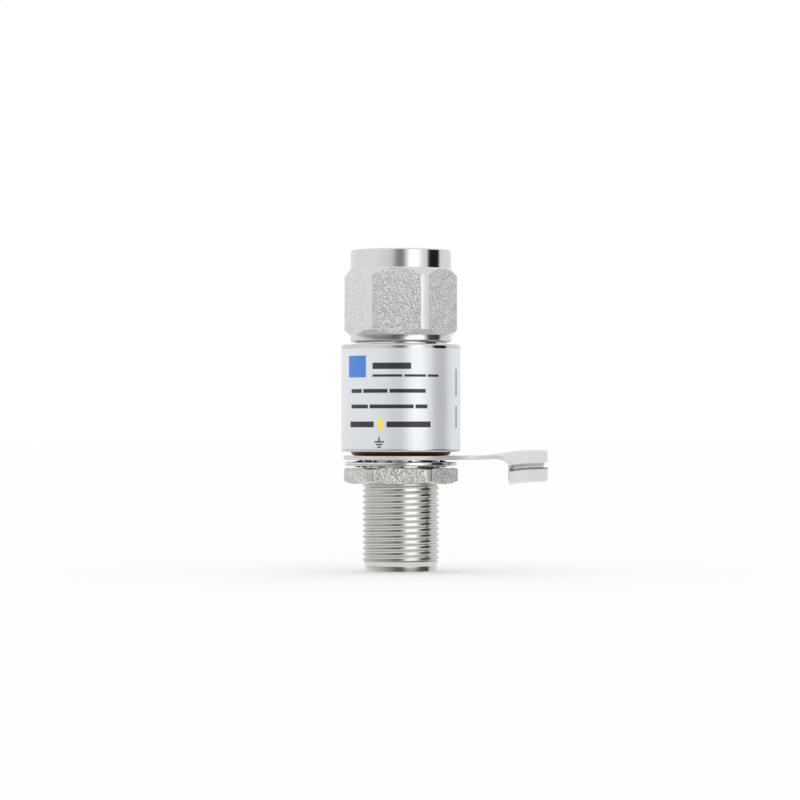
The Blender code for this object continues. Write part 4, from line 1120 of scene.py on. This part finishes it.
def jack_socket():
    """Slotted contact of the jack."""
    bore_top = SOCKET_MOUTH + SOCKET_BORE_DEPTH
    step = JACK_BEAD_LOW - FIT_GAP
    obj = turned(
        "jack_socket_body",
        [
            (0.0, SOCKET_TOP),
            (TENON_RADIUS, SOCKET_TOP),
            (TENON_RADIUS, JACK_BEAD_HIGH),
            (NECK_RADIUS, JACK_BEAD_HIGH),
            (NECK_RADIUS, step),
            (ROD_RADIUS, step, STEP_FILLET),
            (ROD_RADIUS, SOCKET_MOUTH + SOCKET_TIP_LENGTH, FILLET),
            (ROD_RADIUS - SOCKET_TIP_INSET, SOCKET_MOUTH, SOCKET_TIP_FILLET),
            (SOCKET_BORE_RADIUS + SOCKET_FLARE, SOCKET_MOUTH),
            (SOCKET_BORE_RADIUS, SOCKET_MOUTH + SOCKET_FLARE_DEPTH),
            (SOCKET_BORE_RADIUS, bore_top),
            (0.0, bore_top + SOCKET_DRILL_POINT),
        ],
        SMALL,
    )
    slot_top = SOCKET_MOUTH + SOCKET_SLOT_DEPTH
    cross_slots(obj, SOCKET_SLOT_WIDTH, ROD_RADIUS + MM, SOCKET_MOUTH - MM, slot_top)
    shade(obj)
    replace_node(obj, "jack_socket", "arrestor", "gold_plate", GOLD)


def panel_seal():
    """Seal ring, a little flattened where it bears on the lug."""
    middle = (SEAL_FOOT + SEAL_TOP) / 2
    section = []
    for part in range(SEAL_SECTION_FACETS):
        turn = 2 * math.pi * part / SEAL_SECTION_FACETS
        height = SEAL_CORD_RADIUS * math.sin(turn)
        flat = SEAL_FLATTENING if height < 0 else 1.0
        section.append((SEAL_RADIUS + SEAL_CORD_RADIUS * math.cos(turn), middle + height * flat))
    obj = turned("panel_seal_ring", section, SEAL_FACETS)
    obj.data.shade_smooth()
    replace_node(obj, "panel_seal", "arrestor", "red_rubber", RED_RUBBER)


def lug_radius(distance):
    share = max(distance - LUG_WING_START, 0.0) / (LUG_REACH - LUG_WING_START)
    return (mix(LUG_BARREL_DIAMETER, LUG_BARREL_END_DIAMETER, share) - LUG_THICKNESS) / 2


def lug_point(distance, offset):
    """A point of the sheet's middle surface: distance from the axis along X, offset across."""
    rise = LUG_RISE * smooth_step((distance - LUG_RISE_START) / (LUG_RISE_END - LUG_RISE_START))
    rise += max(distance - LUG_RISE_END, 0.0) * math.tan(LUG_BARREL_TILT)
    top = LUG_MIDDLE + rise
    if distance <= LUG_NECK_FLARE_END:
        return Vector((distance, offset, top))
    share = (distance - LUG_NECK_FLARE_END) / (LUG_WING_START - LUG_NECK_FLARE_END)
    curl = min(share, 1.0) ** LUG_CURL_POWER
    bend = lug_radius(distance) / curl
    angle = offset / bend
    return Vector((distance, bend * math.sin(angle), top - bend * (1.0 - math.cos(angle))))


def strip(shape, before, after):
    for index in range(len(before) - 1):
        shape.faces.new((before[index], after[index], after[index + 1], before[index + 1]))


def ground_lug():
    """Ring, neck and rolled barrel in one sheet."""
    across, around, wing_steps = 12, 96, 14
    flare_rows, curl_rows, barrel_rows = 6, 16, 8
    shape = bmesh.new()
    flare = math.asin(LUG_NECK_ROOT_WIDTH / 2 / LUG_RING_RADIUS)
    free = around - across
    angles = [flare * (1.0 - 2.0 * step / across) for step in range(across)]
    angles += [-flare - 2 * (math.pi - flare) * step / free for step in range(free)]
    radii = [LUG_HOLE_RADIUS, mix(LUG_HOLE_RADIUS, LUG_RING_RADIUS, 0.5), LUG_RING_RADIUS]
    circles = []
    for radius in radii:
        circle = []
        for angle in angles:
            place = (radius * math.cos(angle), radius * math.sin(angle), LUG_MIDDLE)
            circle.append(shape.verts.new(place))
        circles.append(circle)
    for inner, outer in zip(circles, circles[1:]):
        strip(shape, [*inner, inner[0]], [*outer, outer[0]])
    root = circles[-1][: across + 1]
    half = LUG_NECK_WIDTH / 2
    offsets = [half * (1.0 - 2.0 * step / across) for step in range(across + 1)]
    before = root
    for row in range(1, flare_rows + 1):
        share = row / flare_rows
        ease = 1.0 - (1.0 - share) ** 2
        line = []
        for start, offset in zip(root, offsets):
            distance = mix(start.co.x, LUG_NECK_FLARE_END, share)
            line.append(shape.verts.new(lug_point(distance, mix(start.co.y, offset, ease))))
        strip(shape, before, line)
        before = line
    for row in range(1, curl_rows + 1):
        distance = mix(LUG_NECK_FLARE_END, LUG_WING_START, row / curl_rows)
        line = [shape.verts.new(lug_point(distance, offset)) for offset in offsets]
        strip(shape, before, line)
        before = line
    neck_end = before
    full = math.pi * lug_radius(LUG_WING_START) - LUG_SEAM / 2
    crown = half / full
    wing = [mix(crown, 1.0, step / wing_steps) for step in range(1, wing_steps + 1)]
    middle = [crown * (1.0 - 2.0 * step / across) for step in range(across + 1)]
    before = None
    for row in range(barrel_rows + 1):
        distance = mix(LUG_WING_START, LUG_REACH, row / barrel_rows)
        limit = math.pi * lug_radius(distance) - LUG_SEAM / 2
        left = [shape.verts.new(lug_point(distance, limit * share)) for share in reversed(wing)]
        right = [shape.verts.new(lug_point(distance, -limit * share)) for share in wing]
        crown_line = neck_end
        if row:
            crown_line = [shape.verts.new(lug_point(distance, limit * share)) for share in middle]
        line = [*left, *crown_line, *right]
        if before:
            strip(shape, before, line)
        before = line
    obj = object_from(shape, "ground_lug_sheet")
    sheet = obj.modifiers.new("Sheet", "SOLIDIFY")
    sheet.thickness = LUG_THICKNESS
    sheet.offset = 0.0
    sheet.use_even_offset = True
    settle(obj)
    bevel(obj, LUG_EDGE, 2, 50.0)
    shade(obj, SHEET_SHARP_ANGLE)
    replace_node(obj, "ground_lug", "ground_lug", "tin_plate", TIN, TIN_EDGE)
    for face in obj.data.polygons:
        beside_barrel = face.center.x > LUG_WING_START
        face.material_index = int(abs(face.normal.z) < 0.5 and not beside_barrel)


def lock_washer():
    """Flat rim with twelve twisted teeth."""
    middle_height = (WASHER_FOOT + WASHER_TOP) / 2
    rim_inner = WASHER_RADIUS - WASHER_RIM_WIDTH
    half = WASHER_THICKNESS / 2
    section = [(WASHER_RADIUS, half), (WASHER_RADIUS, -half), (rim_inner, -half), (rim_inner, half)]
    rim_columns, tooth_columns, stages = 16, 8, 8
    count = WASHER_TEETH * rim_columns
    shape = bmesh.new()
    loops = []
    for index in range(count):
        angle = 2 * math.pi * index / count
        direction = Vector((math.cos(angle), math.sin(angle), 0.0))
        loops.append(
            [
                shape.verts.new(direction * radius + Vector((0, 0, middle_height + height)))
                for radius, height in section
            ]
        )
    for index in range(count):
        here, there = loops[index], loops[(index + 1) % count]
        for side in range(4):
            following = (side + 1) % 4
            if side == 2 and index % rim_columns < tooth_columns:
                continue
            shape.faces.new((here[side], here[following], there[following], there[side]))
    half_width = TOOTH_TIP_WIDTH / 2
    height = (WASHER_TOP - WASHER_FOOT) / 2
    full_twist = math.asin(height / math.hypot(half_width, half)) - math.atan2(half, half_width)
    tip = math.sqrt((WASHER_HOLE_RADIUS + half) ** 2 - half_width**2)
    for tooth in range(WASHER_TEETH):
        first = tooth * rim_columns
        root = [loops[(first + column) % count] for column in range(tooth_columns + 1)]
        before = [[loop[2], loop[3]] for loop in root]
        root_width = (root[-1][2].co - root[0][2].co).length
        centre = (root[0][2].co + root[-1][2].co) / 2
        direction = Vector((centre.x, centre.y, 0.0)).normalized()
        sideways = Vector((-direction.y, direction.x, 0.0))
        for stage in range(1, stages + 1):
            share = stage / stages
            place = direction * mix(rim_inner, tip, share)
            width = mix(root_width, TOOTH_TIP_WIDTH, share)
            twist = full_twist * smooth_step(share)
            line = []
            for column in range(tooth_columns + 1):
                across = width * (column / tooth_columns - 0.5)
                pair = []
                for lift in (-half, half):
                    x = across * math.cos(twist) - lift * math.sin(twist)
                    z = across * math.sin(twist) + lift * math.cos(twist)
                    upward = Vector((0, 0, middle_height + z))
                    pair.append(shape.verts.new(place + sideways * x + upward))
                line.append(pair)
            for column in range(tooth_columns):
                a, b = before[column], before[column + 1]
                c, d = line[column], line[column + 1]
                shape.faces.new((a[0], c[0], d[0], b[0]))
                shape.faces.new((a[1], b[1], d[1], c[1]))
            for side in (0, -1):
                shape.faces.new((before[side][0], before[side][1], line[side][1], line[side][0]))
            before = line
        for a, b in zip(before, before[1:]):
            shape.faces.new((a[0], a[1], b[1], b[0]))
    obj = object_from(shape, "lock_washer_ring")
    bevel(obj, WASHER_EDGE, 3, 45.0)
    shade(obj, SHEET_SHARP_ANGLE)
    replace_node(obj, "lock_washer", "lock_washer", "zinc_steel", ZINC)


housing()
label()
label_print()
coupling_nut()
bulkhead_nut()
plug_shell()
plug_inside()
bead("plug_bead", "plug_insulator", PLUG_BEAD_LOW, PLUG_BEAD_HIGH)
bead("jack_bead", "jack_insulator", JACK_BEAD_LOW, JACK_BEAD_HIGH)
jack_socket()
panel_seal()
ground_lug()
lock_washer()

HIDDEN_FINISHES = {
    "snap_ring": BRONZE,
    "tube_spring": BRONZE,
    "plug_retainer": NUT_TURNED,
    "jack_retainer": NUT_TURNED,
    "centre_rod": SILVER,
    "tube_inner_electrode": COPPER,
    "tube_outer_electrode": COPPER,
    "tube_ceramic": CERAMIC,
    "tube_plug": NICKEL,
    "tube_plug_seal": SILICONE,
}
for node, finish in HIDDEN_FINISHES.items():
    for slot in frame["nodes"][node].material_slots:
        slot.material = finish


# Floor, lights and camera


def card_ring(name, distance, low, high, cards):
    """A ring of cards that only reflections see. Its ends are open."""
    shape = bmesh.new()
    bmesh.ops.create_cone(
        shape,
        segments=96,
        radius1=distance,
        radius2=distance,
        depth=high - low,
        matrix=Matrix.Translation((0.0, 0.0, (high + low) / 2)),
    )
    obj = object_from(shape, name)
    nodes = Nodes(name)
    tree = nodes.tree
    tree.nodes.remove(nodes.shader)
    place = nodes.add("SeparateXYZ")
    nodes.link(nodes.position(), place.inputs[0])
    front = nodes.math("MULTIPLY", place.outputs["Y"], -1.0)
    azimuth = nodes.math("ARCTAN2", place.outputs["X"], front)
    ramp = nodes.add("ValToRGB")
    nodes.link(nodes.ramp(azimuth, 0.0, 1.0, -math.pi, math.pi), ramp.inputs[0])
    stops = ramp.color_ramp.elements
    while len(stops) < len(cards):
        stops.new(0.5)
    for stop, (degrees, brightness) in zip(stops, cards):
        stop.position = (degrees + 180.0) / 360.0
        share = brightness / CARD_BRIGHTEST
        stop.color = (share, share, share, 1.0)
    light = nodes.add("Emission")
    light.inputs["Strength"].default_value = CARD_BRIGHTEST
    nodes.link(ramp.outputs["Color"], light.inputs["Color"])
    output = tree.nodes["Material Output"]
    nodes.link(light.outputs[0], output.inputs["Surface"])
    obj.data.materials.append(nodes.material)
    obj.visible_camera = False
    obj.visible_diffuse = False
    obj.visible_shadow = False


def floor():
    """A pale floor that fades into the white round it."""
    shape = bmesh.new()
    bmesh.ops.create_circle(shape, cap_ends=True, radius=FLOOR_RADIUS, segments=96)
    obj = object_from(shape, "floor")
    obj.location = (0.0, 0.0, NOSE_END - FLOOR_DROP)
    nodes = Nodes("floor")
    nodes.set("Base Color", (0.99, 0.99, 0.99, 1.0))
    nodes.set("Roughness", 0.9)
    nodes.set("Specular IOR Level", 0.0)
    obj.data.materials.append(nodes.material)
    obj.visible_glossy = False


def world():
    """Plain white all round."""
    surroundings = bpy.data.worlds.new("studio")
    surroundings.use_nodes = True
    bpy.context.scene.world = surroundings
    tree = surroundings.node_tree
    background = tree.nodes["Background"]
    background.inputs["Color"].default_value = (1.0, 1.0, 1.0, 1.0)
    background.inputs["Strength"].default_value = 1.0


def camera():
    data = bpy.data.cameras.new("camera")
    data.sensor_width = SENSOR_WIDTH
    data.lens = CAMERA_DISTANCE / PIXEL / IMAGE_PIXELS * SENSOR_WIDTH
    data.shift_y = (LEVEL_PIXEL - IMAGE_PIXELS / 2) / IMAGE_PIXELS
    data.clip_start = 0.01
    obj = bpy.data.objects.new("camera", data)
    bpy.context.scene.collection.objects.link(obj)
    x = (IMAGE_PIXELS / 2 - AXIS_PIXEL) * PIXEL
    z = NOSE_END + (NOSE_PIXEL - LEVEL_PIXEL) * PIXEL
    obj.location = (x, -CAMERA_DISTANCE, z)
    obj.rotation_euler = (math.pi / 2, 0.0, 0.0)
    bpy.context.scene.camera = obj


world()
floor()
camera()
card_ring("studio_cards", CARD_DISTANCE, CARD_LOW, CARD_HIGH, CARDS)
card_ring("nut_cards", NUT_CARD_DISTANCE, NUT_CARD_LOW, NUT_CARD_HIGH, NUT_CARDS)
card_ring("stem_cards", STEM_CARD_DISTANCE, STEM_CARD_LOW, STEM_CARD_HIGH, STEM_CARDS)
card_ring("table_edge", TABLE_DISTANCE, TABLE_LOW, TABLE_HIGH, TABLE)

bpy.context.scene.view_settings.view_transform = "Standard"
